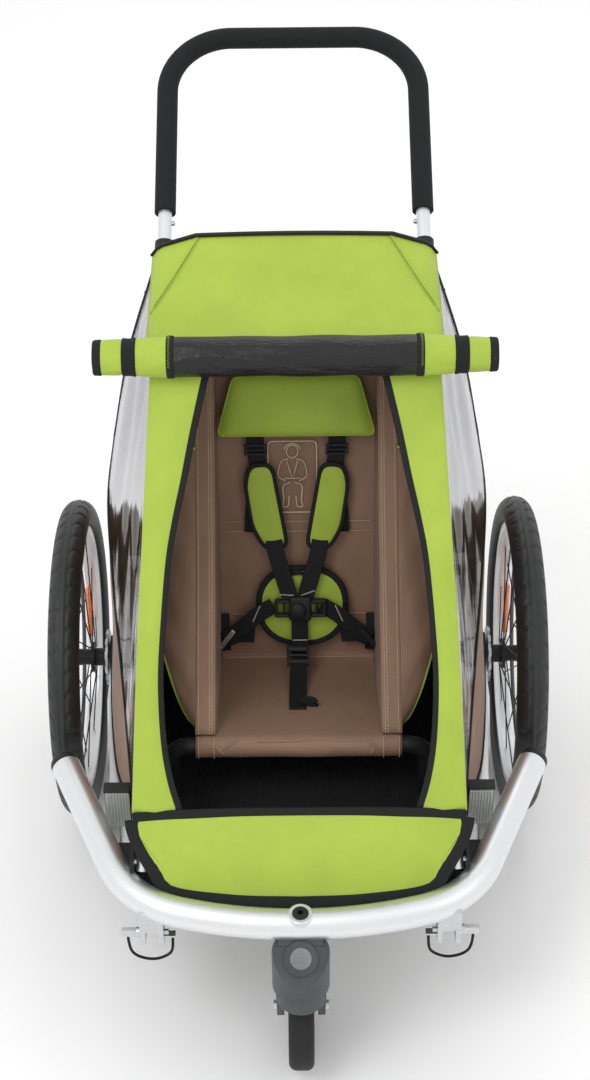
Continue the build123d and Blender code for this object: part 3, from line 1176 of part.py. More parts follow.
def main():
    os.makedirs("parts", exist_ok=True)
    rails = both(side_rail())
    save("side_rails", *rails)
    save("cross_tubes", *[cross_tube(y, rails) for y in CROSS_TUBE_Y])
    save("floor_panel", floor_panel())

    path = bumper_path()
    bumper_bar = swept(path, BUMPER_RADIUS)
    socket = accessory_socket()
    save("bumper_tube", bumper_tube(path, socket))
    save("bumper_end_caps", *both(bumper_cap()))
    save("accessory_socket", socket)
    save("corner_brackets", *both(corner_bracket(bumper_bar, rails[0])))
    save("front_reflectors", *both(front_reflector()))

    save("front_pillars", *both(front_pillar()))
    for name, side in SIDES:
        latch = roof_latch()
        save(f"roof_latch_{name}", latch if side > 0 else mirror(latch, about=Plane.YZ))
    hoop = rear_hoop()
    save("rear_hoop", hoop)
    save("roof_bow", roof_bow(hoop))
    save("roof_panel", roof_panel())
    save("hoop_brackets", *both(hoop_bracket()))
    save("pivot_pins", *both(pillar_pin()), *both(hoop_pin()))

    save("handle_sockets", *both(handle_socket(hoop)))
    tube = handle_tube()
    save("handle_tube", tube)
    foam = swept(handle_path(FOAM_START), FOAM_RADIUS) - swept(handle_path(FOAM_START), HANDLE_RADIUS)
    save("handle_foam", foam)
    for name, side in SIDES:
        save(f"handle_pin_{name}", snap_pin(side))

    save("wheel_mounts", *both(wheel_mount(rails[0])))
    save("wheel_axles", *both(wheel_axle()))
    for name, side in SIDES:
        x = side * HALF_TRACK
        spoke_set = spokes(x)
        save(f"tyre_{name}", tyre(x))
        save(f"rim_{name}", rim(x))
        save(f"spokes_{name}", *spoke_set)
        save(f"hub_{name}", hub(side, spoke_set))
        save(f"brake_disc_{name}", brake_disc(side * BRAKE_DISC_X))
        button = axle_button()
        save(f"axle_button_{name}", button if side > 0 else mirror(button, about=Plane.YZ))

    save("caster_housing", caster_housing(bumper_bar))
    save("caster_button", caster_button())
    save("caster_fork", caster_fork())
    save("caster_axle", caster_axle())
    save("caster_tyre", caster_tyre())
    save("caster_hub", caster_hub())
    save("brake_bar", brake_bar())

    save("tow_clevises", *both(tow_clevis(bumper_bar)))
    for name, side in SIDES:
        pin = lock_pin()
        save(f"lock_pin_{name}", pin if side > 0 else mirror(pin, about=Plane.YZ))
        save(f"lanyard_{name}", lanyard(side))

    save("seat_tube", seat_tube())
    save("seat_sling", *seat_sling())
    save("headrest_pillow", headrest_pillow())
    save("harness_straps", *harness_straps())
    save("harness_pads", *harness_pads())
    save("strap_adjusters", *strap_adjusters())
    save("buckle_body", buckle_body())
    save("buckle_button", buckle_button())

    save("front_surround", front_surround())
    save("front_apron", front_apron())
    save("side_windows", *[half for pane in side_window() for half in both(pane)])
    save("lower_cover", *[half for pane in side_panel() for half in both(pane)], rear_panel())
    save("rolled_cover", rolled_cover())


main()
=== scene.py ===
"""Looks of the child bicycle trailer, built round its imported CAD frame, in metres."""
import json
import math

import bpy
from mathutils import Matrix, Vector


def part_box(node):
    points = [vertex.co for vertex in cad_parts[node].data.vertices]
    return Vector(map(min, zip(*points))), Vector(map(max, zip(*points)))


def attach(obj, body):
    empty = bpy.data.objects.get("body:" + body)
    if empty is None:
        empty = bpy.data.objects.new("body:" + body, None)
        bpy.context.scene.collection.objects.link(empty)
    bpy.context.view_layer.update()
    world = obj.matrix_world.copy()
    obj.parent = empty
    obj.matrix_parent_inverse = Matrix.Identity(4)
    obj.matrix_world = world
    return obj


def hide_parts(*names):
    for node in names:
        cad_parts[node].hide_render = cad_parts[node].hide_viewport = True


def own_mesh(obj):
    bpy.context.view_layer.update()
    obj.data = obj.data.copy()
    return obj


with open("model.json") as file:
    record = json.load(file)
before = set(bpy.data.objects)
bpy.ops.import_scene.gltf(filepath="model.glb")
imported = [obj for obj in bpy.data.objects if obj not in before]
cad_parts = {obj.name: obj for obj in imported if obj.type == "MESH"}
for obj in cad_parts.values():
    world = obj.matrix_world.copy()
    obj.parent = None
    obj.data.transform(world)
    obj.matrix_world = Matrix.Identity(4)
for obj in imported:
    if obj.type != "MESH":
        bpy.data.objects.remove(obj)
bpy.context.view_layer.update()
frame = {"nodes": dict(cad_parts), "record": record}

NODES = frame["nodes"]
SIDES = (("left", -1), ("right", 1))

# ---- places read from the frame ----------------------------------------------------------


def middle(node):
    low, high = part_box(node)
    return (low + high) / 2


AXLE_Y = middle("wheel_mounts").y
WHEEL_LOW, WHEEL_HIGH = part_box("tyre_right")
WHEEL_CENTRE = (WHEEL_LOW + WHEEL_HIGH) / 2
WHEEL_RADIUS = WHEEL_CENTRE.z
TYRE_HALF = (WHEEL_HIGH.x - WHEEL_LOW.x) / 2
RIM_RADIUS = (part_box("rim_right")[1].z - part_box("rim_right")[0].z) / 2
FACE_LOW, FACE_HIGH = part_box("front_surround")
FACE_FOOT = Vector((0, FACE_LOW.y, FACE_LOW.z))
FACE_UP = (Vector((0, FACE_HIGH.y, FACE_HIGH.z)) - FACE_FOOT).normalized()
FACE_OUT = Vector((0, -FACE_UP.z, FACE_UP.y))
ROOF_LOW, ROOF_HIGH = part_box("roof_panel")
ROLL_LOW, ROLL_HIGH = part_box("rolled_cover")


def at(x, y, z):
    """A place given as distance from the middle, from the wheel axle and from the ground."""
    return Vector((x, y + AXLE_Y, z))


# ---- mesh building -----------------------------------------------------------------------
def new_object(name, verts, faces, material, body, smooth=True):
    mesh = bpy.data.meshes.new(name)
    mesh.from_pydata([tuple(v) for v in verts], [], faces)
    mesh.validate()
    mesh.update()
    for polygon in mesh.polygons:
        polygon.use_smooth = smooth
    obj = bpy.data.objects.new(name, mesh)
    bpy.context.scene.collection.objects.link(obj)
    obj.data.materials.append(material)
    if body:
        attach(obj, body)
    return obj


def grid_faces(rows, columns, wrap=False):
    """Quads over a grid of points listed row by row, joined round each row where it wraps."""
    faces = []
    for r in range(rows - 1):
        for c in range(columns if wrap else columns - 1):
            n = (c + 1) % columns
            faces.append((r * columns + c, r * columns + n, (r + 1) * columns + n,
                          (r + 1) * columns + c))
    return faces


def grid_normals(grid):
    """The surface direction at each point of a grid, from its neighbours."""
    rows, columns = len(grid), len(grid[0])
    normals = []
    for r in range(rows):
        line = []
        for c in range(columns):
            along = grid[min(r + 1, rows - 1)][c] - grid[max(r - 1, 0)][c]
            across = grid[r][min(c + 1, columns - 1)] - grid[r][max(c - 1, 0)]
            normal = along.cross(across)
            line.append(normal.normalized() if normal.length > 1e-12 else Vector((0, 0, 1)))
        normals.append(line)
    return normals


def cloth(name, grid, thickness, material, body):
    """A closed sheet of even thickness, with the grid as its outer face."""
    rows, columns = len(grid), len(grid[0])
    normals = grid_normals(grid)
    outer = [p for line in grid for p in line]
    inner = [p - n * thickness for line, ns in zip(grid, normals) for p, n in zip(line, ns)]
    count = len(outer)
    faces = grid_faces(rows, columns)
    faces += [tuple(i + count for i in reversed(face)) for face in grid_faces(rows, columns)]
    rim = [(0, c) for c in range(columns)] + [(r, columns - 1) for r in range(1, rows)]
    rim += [(rows - 1, c) for c in range(columns - 2, -1, -1)] + [(r, 0) for r in range(rows - 2, 0, -1)]
    ids = [r * columns + c for r, c in rim]
    for a, b in zip(ids, ids[1:] + ids[:1]):
        faces.append((b, a, a + count, b + count))
    return new_object(name, outer + inner, faces, material, body)


def smooth_line(points, count):
    """A curve through the points, as evenly shared samples."""
    pts = [Vector(p) for p in points]
    if len(pts) == 2:
        return [pts[0].lerp(pts[1], i / (count - 1)) for i in range(count)]
    padded = [2 * pts[0] - pts[1], *pts, 2 * pts[-1] - pts[-2]]
    lengths = [(b - a).length for a, b in zip(pts, pts[1:])]
    total = sum(lengths)
    samples = []
    for i in range(count):
        place = total * i / (count - 1)
        k = 0
        while k < len(lengths) - 1 and place > lengths[k]:
            place -= lengths[k]
            k += 1
        t = min(place / lengths[k], 1.0) if lengths[k] else 0.0
        a, b, c, d = padded[k:k + 4]
        samples.append(0.5 * (2 * b + (c - a) * t + (2 * a - 5 * b + 4 * c - d) * t * t
                              + (3 * b - a - 3 * c + d) * t ** 3))
    return samples


def coons(bottom, top, start, end):
    """A surface between four edge curves: rows run from bottom to top, each from start to end."""
    rows, columns = len(start), len(bottom)
    grid = []
    for r in range(rows):
        v = r / (rows - 1)
        line = []
        for c in range(columns):
            u = c / (columns - 1)
            ruled = bottom[c].lerp(top[c], v) + start[r].lerp(end[r], u)
            corner = (bottom[0].lerp(bottom[-1], u)).lerp(top[0].lerp(top[-1], u), v)
            line.append(ruled - corner)
        grid.append(line)
    return grid


def frames_along(path, up):
    """At each point of a path, its forward, side and up directions."""
    found = []
    for i, point in enumerate(path):
        forward = (path[min(i + 1, len(path) - 1)] - path[max(i - 1, 0)]).normalized()
        lift = up[i] if isinstance(up, list) else Vector(up)
        side = forward.cross(lift)
        side = side.normalized() if side.length > 1e-9 else forward.orthogonal().normalized()
        found.append((point, forward, side, side.cross(forward).normalized()))
    return found


def sweep(name, path, up, section, material, body):
    """A closed section of (side, up) points carried along a path."""
    verts = []
    for point, _, side, lift in frames_along(path, up):
        verts += [point + side * a + lift * b for a, b in section]
    columns = len(section)
    faces = grid_faces(len(path), columns, wrap=True)
    faces.append(tuple(range(columns - 1, -1, -1)))
    faces.append(tuple(range(len(verts) - columns, len(verts))))
    return new_object(name, verts, faces, material, body)


def oval(width, height, count=12, power=2.0):
    """A rounded section: a power above 2 squares it off."""
    points = []
    for i in range(count):
        a = 2 * math.pi * (i + 0.5) / count
        c, s = math.cos(a), math.sin(a)
        points.append((width / 2 * math.copysign(abs(c) ** (2 / power), c),
                       height / 2 * math.copysign(abs(s) ** (2 / power), s)))
    return points


def binding(name, path, up, material, body, width=0.010, height=0.0034):
    """Binding tape folded over an edge."""
    return sweep(name, path, up, oval(width, height, 14, 3.2), material, body)


def path_length(path):
    return sum((b - a).length for a, b in zip(path, path[1:]))


def held_sheet(grid):
    """Works out the lengths of the grid's rows and columns, and keeps nothing."""
    rows = [path_length(line) for line in grid]
    columns = [path_length(line) for line in zip(*grid)]
    for low, high in zip(grid, grid[1:]):
        for a, b, c, d in zip(low, low[1:], high[1:], high):
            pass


def spaced(path, step):
    """Places at an even step along a path, each with its direction."""
    total = path_length(path)
    count = max(2, int(total / step))
    out, travelled, k = [], 0.0, 0
    for i in range(count):
        goal = total * (i + 0.5) / count
        while k < len(path) - 2 and travelled + (path[k + 1] - path[k]).length < goal:
            travelled += (path[k + 1] - path[k]).length
            k += 1
        run = path[k + 1] - path[k]
        t = (goal - travelled) / run.length if run.length else 0
        out.append((path[k] + run * t, run.normalized()))
    return out


def stitches(name, paths, up, material, body, step=0.0042, length=0.0030, width=0.0012):
    """Rows of thread dashes lying on a surface; each dash is a small rounded bar."""
    verts, faces = [], []
    for path in paths:
        for place, forward in spaced(path, step):
            side = forward.cross(Vector(up)).normalized()
            lift = side.cross(forward).normalized()
            base = len(verts)
            for along, size in ((-0.5, 0.35), (-0.3, 1.0), (0.3, 1.0), (0.5, 0.35)):
                for a, b in ((-0.5, 0.0), (0.0, 0.6), (0.5, 0.0), (0.0, -0.6)):
                    verts.append(place + forward * along * length
                                 + side * a * width * size + lift * b * width * size)
            faces += [tuple(base + i for i in face) for face in grid_faces(4, 4, wrap=True)]
            faces += [(base + 3, base + 2, base + 1, base), tuple(base + 12 + i for i in range(4))]
    return new_object(name, verts, faces, material, body)


def lathe(name, profile, centre, axis, material, body, count=64, shape=None, hollow=False):
    """A profile of (along, radius) points turned about an axis: hollow joins its ends together."""
    forward = Vector(axis).normalized()
    side = forward.orthogonal().normalized()
    lift = forward.cross(side)
    verts = []
    for i in range(count):
        a = 2 * math.pi * i / count
        out = side * math.cos(a) + lift * math.sin(a)
        for j, (along, radius) in enumerate(profile):
            push = shape(a, along, radius) if shape else 0.0
            verts.append(centre + forward * along + out * (radius + push))
    columns = len(profile)
    faces = []
    for i in range(count):
        n = (i + 1) % count
        for j in range(columns if hollow else columns - 1):
            k = (j + 1) % columns
            faces.append((i * columns + j, i * columns + k, n * columns + k, n * columns + j))
    if not hollow:
        faces.append(tuple(i * columns for i in range(count)))
        faces.append(tuple(i * columns + columns - 1 for i in range(count - 1, -1, -1)))
    return new_object(name, verts, faces, material, body)


def rounded_block(name, centre, size, axes, material, body, radius=0.003):
    """A block with softened edges, on its own (x, y, z) directions."""
    hx, hy, hz = (s / 2 for s in size)
    r = min(radius, hx * 0.95, hy * 0.95, hz * 0.95)
    rings = []
    steps = 5
    for k in range(2 * steps):
        top = k >= steps
        a = math.pi / 2 * ((k - steps) if top else (steps - 1 - k)) / (steps - 1)
        z = (hz - r + r * math.sin(a)) * (1 if top else -1)
        inset = r * (1 - math.cos(a))
        ring = []
        for cx, cy, start in ((1, 1, 0), (-1, 1, 90), (-1, -1, 180), (1, -1, 270)):
            for j in range(5):
                b = math.radians(start + 22.5 * j)
                rr = max(r - inset, 1e-5)
                ring.append((cx * (hx - r) + rr * math.cos(b), cy * (hy - r) + rr * math.sin(b), z))
        rings.append(ring)
    ex, ey, ez = axes
    verts = [centre + ex * x + ey * y + ez * z for ring in rings for x, y, z in ring]
    columns = len(rings[0])
    faces = grid_faces(len(rings), columns, wrap=True)
    faces.append(tuple(range(columns - 1, -1, -1)))
    faces.append(tuple(range(len(verts) - columns, len(verts))))
    return new_object(name, verts, faces, material, body)


# ---- materials ---------------------------------------------------------------------------
class Paint:
    """A Principled material with its nodes at hand."""

    def __init__(self, name, colour, rough, metallic=0.0, **sockets):
        self.material = bpy.data.materials.new(name)
        self.material.use_nodes = True
        self.tree = self.material.node_tree
        self.shader = self.tree.nodes["Principled BSDF"]
        self.shader.inputs["Base Color"].default_value = (*colour, 1)
        self.shader.inputs["Roughness"].default_value = rough
        self.shader.inputs["Metallic"].default_value = metallic
        for socket, value in sockets.items():
            self.shader.inputs[socket.replace("_", " ")].default_value = value
        self.coordinates = self.node("ShaderNodeTexCoord").outputs["Object"]
        self.bump_chain = None

    def node(self, kind, **settings):
        made = self.tree.nodes.new(kind)
        for key, value in settings.items():
            setattr(made, key, value)
        return made

    def link(self, a, b):
        self.tree.links.new(a, b)

    def noise(self, scale, detail=4.0, rough=0.6, stretch=None, lean=0.0):
        made = self.node("ShaderNodeTexNoise")
        made.inputs["Scale"].default_value = scale
        made.inputs["Detail"].default_value = detail
        made.inputs["Roughness"].default_value = rough
        self.link(self.stretched(stretch, lean), made.inputs["Vector"])
        return made.outputs["Fac"]

    def stretched(self, stretch, lean=0.0):
        """Coordinates leaning about X by an angle, then scaled along each axis."""
        if not stretch:
            return self.coordinates
        turned = self.node("ShaderNodeMapping")
        turned.inputs["Rotation"].default_value = (lean, 0, 0)
        self.link(self.coordinates, turned.inputs["Vector"])
        mapping = self.node("ShaderNodeMapping")
        mapping.inputs["Scale"].default_value = stretch
        self.link(turned.outputs["Vector"], mapping.inputs["Vector"])
        return mapping.outputs["Vector"]

    def bands(self, scale, direction):
        made = self.node("ShaderNodeTexWave", wave_type="BANDS", bands_direction=direction)
        made.inputs["Scale"].default_value = scale
        self.link(self.coordinates, made.inputs["Vector"])
        return made.outputs["Fac"]

    def cells(self, scale):
        made = self.node("ShaderNodeTexVoronoi")
        made.inputs["Scale"].default_value = scale
        self.link(self.coordinates, made.inputs["Vector"])
        return made.outputs["Distance"]

    def ramp(self, value, stops):
        """Colours by value: stops are (position, colour)."""
        made = self.node("ShaderNodeValToRGB")
        ramp = made.color_ramp
        while len(ramp.elements) < len(stops):
            ramp.elements.new(0.5)
        for element, (position, colour) in zip(ramp.elements, stops):
            element.position = position
            element.color = (*colour, 1)
        self.link(value, made.inputs["Fac"])
        return made.outputs["Color"]

    def colour(self, output):
        self.link(output, self.shader.inputs["Base Color"])

    def roughness(self, value, low, high):
        made = self.node("ShaderNodeMapRange")
        made.inputs["To Min"].default_value = low
        made.inputs["To Max"].default_value = high
        self.link(value, made.inputs["Value"])
        self.link(made.outputs["Result"], self.shader.inputs["Roughness"])

    def mixed(self, value, a, b, low=0.35, high=0.65):
        return self.ramp(value, [(low, a), (high, b)])

    def product(self, a, b, operation="MULTIPLY"):
        made = self.node("ShaderNodeMath", operation=operation)
        self.link(a, made.inputs[0])
        if isinstance(b, float):
            made.inputs[1].default_value = b
        else:
            self.link(b, made.inputs[1])
        return made.outputs["Value"]

    def bump(self, value, strength, distance):
        made = self.node("ShaderNodeBump")
        made.inputs["Strength"].default_value = strength
        made.inputs["Distance"].default_value = distance
        self.link(value, made.inputs["Height"])
        if self.bump_chain:
            self.link(self.bump_chain, made.inputs["Normal"])
        self.bump_chain = made.outputs["Normal"]
        self.link(self.bump_chain, self.shader.inputs["Normal"])


def shade(colour, factor):
    return tuple(min(1.0, c * factor) for c in colour)


def woven(name, colour, rough=0.6, thread=1500.0, sheen=0.25, depth=0.00025, folds=0.5):
    """Woven cloth: crossing threads, soft cloudy wear and a little sheen."""
    paint = Paint(name, colour, rough, Sheen_Weight=sheen, Sheen_Roughness=0.45,
                  Specular_IOR_Level=0.30)
    cloudy = paint.noise(9, 5)
    paint.colour(paint.mixed(cloudy, shade(colour, 0.90), shade(colour, 1.07), 0.3, 0.7))
    paint.roughness(paint.noise(60, 3), rough - 0.08, rough + 0.1)
    across = paint.bands(thread / 6.28, "X")
    along = paint.bands(thread / 6.28, "DIAGONAL")
    paint.bump(paint.product(across, along, "ADD"), 0.35, depth)
    paint.bump(paint.noise(26, 4), 0.30, 0.0022)
    paint.bump(paint.noise(9, 3, 0.55, (1.0, 0.5, 0.5)), folds, 0.012)
    return paint.material


def webbing_paint(name, colour):
    """Flat woven webbing, ribbed across its length."""
    paint = Paint(name, colour, 0.7, Specular_IOR_Level=0.16)
    ribs = paint.bands(230, "DIAGONAL")
    paint.colour(paint.mixed(ribs, shade(colour, 0.7), shade(colour, 1.9), 0.1, 0.9))
    paint.bump(ribs, 0.5, 0.0004)
    paint.bump(paint.noise(900, 2), 0.4, 0.0003)
    return paint.material


def brushed(name, colour, rough, stretch, contrast=0.06):
    """Satin metal with fine drawn lines and faint handling marks."""
    paint = Paint(name, colour, rough, 1.0)
    lines = paint.noise(220, 4, 0.7, stretch)
    paint.colour(paint.mixed(lines, shade(colour, 1 - contrast), shade(colour, 1 + contrast)))
    paint.roughness(paint.noise(14, 5), rough - 0.06, rough + 0.09)
    paint.bump(lines, 0.05, 0.0002)
    return paint.material


def moulded(name, colour, rough=0.5, grain=900.0, strength=0.25):
    """Moulded plastic or rubber with a spark-eroded grain and edge scuffs."""
    paint = Paint(name, colour, rough, Specular_IOR_Level=0.25)
    scuffs = paint.noise(35, 6, 0.7)
    paint.colour(paint.mixed(scuffs, shade(colour, 0.85), shade(colour, 1.25), 0.35, 0.75))
    paint.roughness(scuffs, rough - 0.07, rough + 0.12)
    paint.bump(paint.cells(grain), strength, 0.0003)
    return paint.material


GREEN = (0.375, 0.500, 0.060)
BROWN = (0.262, 0.158, 0.104)

PAINT = {
    "green": woven("green_coated_cloth", GREEN, 0.52, 1700, 0.05),
    "brown": woven("brown_nylon", BROWN, 0.58, 1300, 0.10, folds=0.9),
    "tape": webbing_paint("black_binding", (0.013, 0.013, 0.014)),
    "webbing": webbing_paint("black_webbing", (0.012, 0.012, 0.013)),
    "aluminium": brushed("satin_aluminium", (0.78, 0.79, 0.80), 0.40, (1, 1, 1), 0.02),
    "steel": brushed("brushed_steel", (0.60, 0.61, 0.63), 0.28, (0.2, 1, 1)),
    "black_steel": moulded("black_powder_coat", (0.016, 0.016, 0.018), 0.38, 1600, 0.12),
    "black_plastic": moulded("black_moulded_plastic", (0.018, 0.018, 0.020), 0.45),
    "grey_plastic": moulded("grey_moulded_plastic", (0.062, 0.070, 0.074), 0.42),
    "rubber": moulded("dark_rubber", (0.017, 0.017, 0.018), 0.62, 700, 0.35),
    "foam": moulded("closed_cell_foam", (0.0105, 0.0120, 0.0125), 0.8, 1100, 0.55),
    "tan_thread": moulded("tan_thread", (0.66, 0.50, 0.34), 0.8),
    "green_thread": moulded("green_thread", (0.24, 0.38, 0.05), 0.8),
    "white_thread": moulded("white_thread", (0.70, 0.70, 0.68), 0.75),
    "button_grey": moulded("button_grey", (0.20, 0.21, 0.22), 0.4),
    "cream_print": moulded("cream_print", (0.62, 0.52, 0.36), 0.7),
}


def tyre_paint():
    """Dark rubber with a little dust in its grain."""
    paint = Paint("tyre_rubber", (0.020, 0.021, 0.022), 0.5, Specular_IOR_Level=0.45)
    dust = paint.noise(18, 6, 0.7)
    paint.colour(paint.mixed(dust, (0.010, 0.0105, 0.011), (0.024, 0.025, 0.026), 0.3, 0.75))
    paint.roughness(dust, 0.38, 0.62)
    paint.bump(paint.noise(500, 3), 0.2, 0.0004)
    return paint.material


def mesh_paint():
    """The floor's ribbed mesh: fine ribs with pores between them."""
    paint = Paint("ribbed_mesh", (0.016, 0.016, 0.018), 0.75, Specular_IOR_Level=0.25)
    ribs = paint.bands(110, "X")
    pores = paint.cells(420)
    paint.colour(paint.mixed(ribs, (0.006, 0.006, 0.007), (0.030, 0.030, 0.033), 0.2, 0.8))
    paint.bump(ribs, 0.8, 0.0016)
    paint.bump(pores, 0.5, 0.0008)
    return paint.material


# The film's painted shade and painted reflection by height and run back: painted shade of the dark cabin
# below, a pale painted reflection above.
FILM_SLOPE = 0.64
FILM_PAINTED_SHADE_AND_REFLECTION = [(0.50, (0.022, 0.014, 0.010)), (0.655, (0.040, 0.024, 0.016)),
               (0.665, (0.62, 0.62, 0.65)), (0.80, (0.50, 0.50, 0.53))]


def film_paint():
    """Clear flexible window film, its colour painted: a pale painted reflection above, painted shade of
    the dark cabin below, with long painted streak reflections.
    """
    paint = Paint("window_film", (0.02, 0.02, 0.02), 0.06)
    lean = math.atan2(FACE_UP.y, FACE_UP.z)
    streaks = paint.noise(26, 3, 0.60, (1.0, 1.0, 0.06), lean)
    patches = paint.noise(3.2, 2, 0.5)
    place = paint.node("ShaderNodeSeparateXYZ")
    paint.link(paint.coordinates, place.inputs["Vector"])
    slope = paint.product(place.outputs["Y"], FILM_SLOPE)
    height = paint.product(place.outputs["Z"], slope, "ADD")
    ragged = paint.product(height, paint.product(streaks, 0.10), "ADD")
    # Painted shade of the cabin low on the film, a pale painted reflection higher up.
    base = paint.ramp(ragged, FILM_PAINTED_SHADE_AND_REFLECTION)
    # Painted streak reflections, added over the painted shade in the lower part.
    painted_streak_reflections = paint.mixed(streaks, (0.0, 0.0, 0.0), (0.60, 0.60, 0.62), 0.50, 0.60)
    below = paint.ramp(ragged, [(0.50, (1, 1, 1)), (0.53, (0, 0, 0))])
    mix = paint.node("ShaderNodeMix", data_type="RGBA", blend_type="ADD")
    paint.link(below, mix.inputs["Factor"])
    paint.link(base, mix.inputs["A"])
    paint.link(painted_streak_reflections, mix.inputs["B"])
    paint.colour(mix.outputs["Result"])
    alpha = paint.node("ShaderNodeMapRange")
    alpha.inputs["To Min"].default_value = 0.55
    alpha.inputs["To Max"].default_value = 0.92
    paint.link(patches, alpha.inputs["Value"])
    paint.link(alpha.outputs["Result"], paint.shader.inputs["Alpha"])
    paint.bump(streaks, 0.25, 0.006)
    return paint.material


def foil_paint():
    """Black glossy foil over mesh, wrinkled by the rolling."""
    paint = Paint("rolled_foil", (0.010, 0.010, 0.012), 0.30, Specular_IOR_Level=0.4)
    wrinkles = paint.noise(30, 6, 0.65, (0.30, 1.0, 1.0))
    paint.roughness(wrinkles, 0.18, 0.42)
    paint.bump(wrinkles, 0.9, 0.007)
    net = paint.product(paint.bands(260, "X"), paint.bands(260, "DIAGONAL"))
    paint.colour(paint.mixed(net, (0.006, 0.005, 0.006), (0.022, 0.019, 0.022), 0.3, 0.8))
    return paint.material


def reflector_paint(name, colour, painted_glint):
    """A moulded prism reflector: a grid of small cube corners under a clear face; the grid's lighter
    cells are painted glints and its darker cells painted shade.
    """
    paint = Paint(name, colour, 0.12, Coat_Weight=1.0, Coat_Roughness=0.03, Specular_IOR_Level=0.8)
    prisms = paint.product(paint.bands(75, "X"), paint.bands(75, "Z"), "ADD")
    # Painted glints and painted shade: the prism cells made lighter and darker than the plastic.
    paint.colour(paint.mixed(prisms, shade(colour, 0.55), shade(colour, painted_glint), 0.3, 0.7))
    paint.bump(prisms, 0.7, 0.001)
    return paint.material


PAINT["tyre"] = tyre_paint()
PAINT["mesh"] = mesh_paint()
PAINT["film"] = film_paint()
PAINT["foil"] = foil_paint()
PAINT["clear_reflector"] = reflector_paint("clear_reflector", (0.34, 0.36, 0.34), 1.6)
PAINT["orange_reflector"] = reflector_paint("orange_reflector", (0.85, 0.20, 0.02), 1.2)


def dress_frame():
    """Gives every carried-over CAD node the finish of its record slot."""
    by_slot = {
        "aluminium": "aluminium", "steel": "steel", "black_steel": "black_steel",
        "black_plastic": "black_plastic", "grey_plastic": "grey_plastic", "rubber": "rubber",
        "tyre": "tyre", "foam": "foam", "green_cloth": "green", "brown_cloth": "brown",
        "floor_mesh": "mesh", "webbing": "webbing", "clear_film": "film",
        "reflector": "clear_reflector",
    }
    for part in frame["record"]["subparts"]:
        mesh = NODES[part["node"]].data
        mesh.materials.clear()
        mesh.materials.append(PAINT[by_slot[part["material_slot"]]])
    NODES["caster_button"].data.materials[0] = PAINT["button_grey"]


# ---- wheels ------------------------------------------------------------------------------
TREAD_PITCH = math.radians(7.5)
TREAD_DEPTH = 0.0030
TREAD_CURVE = 0.085
GROOVE_SHARE = 0.26
GROOVE_START, GROOVE_END = 0.18, 0.86
RING_PLACE, RING_SHARE, RING_DEPTH = 0.20, 0.06, 0.6
TYRE_TURN_STEPS = 480
TYRE_SECTION_STEPS = 44


def tread_groove(angle, along):
    """Depth of the tread at a place across the tyre: curved grooves and two rings."""
    share = along / TYRE_HALF
    curve = angle + TREAD_CURVE * math.sin(share * 2.6)
    wave = abs(((curve / TREAD_PITCH) % 1.0) - 0.5) * 2
    grooved = GROOVE_START < abs(share) < GROOVE_END
    crossing = max(0.0, 1 - wave / GROOVE_SHARE) if grooved else 0.0
    ring = max(0.0, 1 - abs(abs(share) - RING_PLACE) / RING_SHARE)
    return -TREAD_DEPTH * max(crossing, RING_DEPTH * ring)


def tyre(name, side):
    """A moulded tyre: round section with curved grooves cut in its crown."""
    centre = Vector((side * WHEEL_CENTRE.x, WHEEL_CENTRE.y, WHEEL_CENTRE.z))
    ring = WHEEL_RADIUS - TYRE_HALF
    crown = ring + TYRE_HALF * 0.25
    profile = []
    for i in range(TYRE_SECTION_STEPS + 1):
        a = math.radians(-222 + 264 * i / TYRE_SECTION_STEPS)
        profile.append((TYRE_HALF * math.cos(a), ring - TYRE_HALF * math.sin(a)))

    def groove(angle, along, radius):
        return tread_groove(angle, along) if radius >= crown else 0.0
    obj = lathe(f"tyre_tread_{name}", profile, centre, (1, 0, 0), PAINT["tyre"],
                f"wheel_{name}", TYRE_TURN_STEPS, groove, hollow=True)
    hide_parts(f"tyre_{name}")


SPOKE_REFLECTOR_ANGLES = (102, 282)
SPOKE_REFLECTOR_SIZE = (0.010, 0.026, 0.090)


def spoke_reflectors(name, side):
    """Two amber reflectors clipped between the spokes."""
    radius = RIM_RADIUS * 0.72
    for number, angle in enumerate(SPOKE_REFLECTOR_ANGLES):
        a = math.radians(angle)
        out = Vector((0, math.sin(a), math.cos(a)))
        along = Vector((0, math.cos(a), -math.sin(a)))
        centre = Vector((side * WHEEL_CENTRE.x, AXLE_Y, WHEEL_RADIUS)) + out * radius
        axes = (Vector((1, 0, 0)), out, along)
        lens = rounded_block(f"spoke_reflector_{name}_{number}", centre, SPOKE_REFLECTOR_SIZE,
                             axes, PAINT["orange_reflector"], f"wheel_{name}", 0.004)


# ---- cover -------------------------------------------------------------------------------
THIN_CLOTH = 0.0012
COVER_CLOTH = 0.0014
STRONG_CLOTH = 0.0016
FILM_THICKNESS = 0.0008
FACE_HEIGHT = 0.612
EDGE_WRAP = 0.007
BAND_ROWS = 64
# Half widths of the front frame, from the foot upwards: (height up the face, half width).
OUTER_EDGE = [(-0.005, 0.2205), (0.10, 0.2165), (0.24, 0.2105), (0.37, 0.2028), (0.52, 0.1942),
              (FACE_HEIGHT, 0.1890)]
INNER_EDGE = [(0.004, 0.1640), (0.045, 0.1765), (0.10, 0.1855), (0.18, 0.1890), (0.26, 0.1845),
              (0.345, 0.1765), (0.40, 0.1665), (0.455, 0.1540), (0.52, 0.1405), (FACE_HEIGHT, 0.1190)]


def between(table, place):
    """Smooth value from a short table of (place, value)."""
    points = smooth_line([(p, v, 0) for p, v in table], 60)
    for a, b in zip(points, points[1:]):
        if a.x <= place <= b.x:
            return a.y + (b.y - a.y) * (place - a.x) / max(b.x - a.x, 1e-9)
    return points[0].y if place < points[0].x else points[-1].y


def on_face(x, height, lift=0.0):
    """A place on the sloping front: across, up its slope, and out from it."""
    return FACE_FOOT + Vector((x, 0, 0)) + FACE_UP * height + FACE_OUT * lift


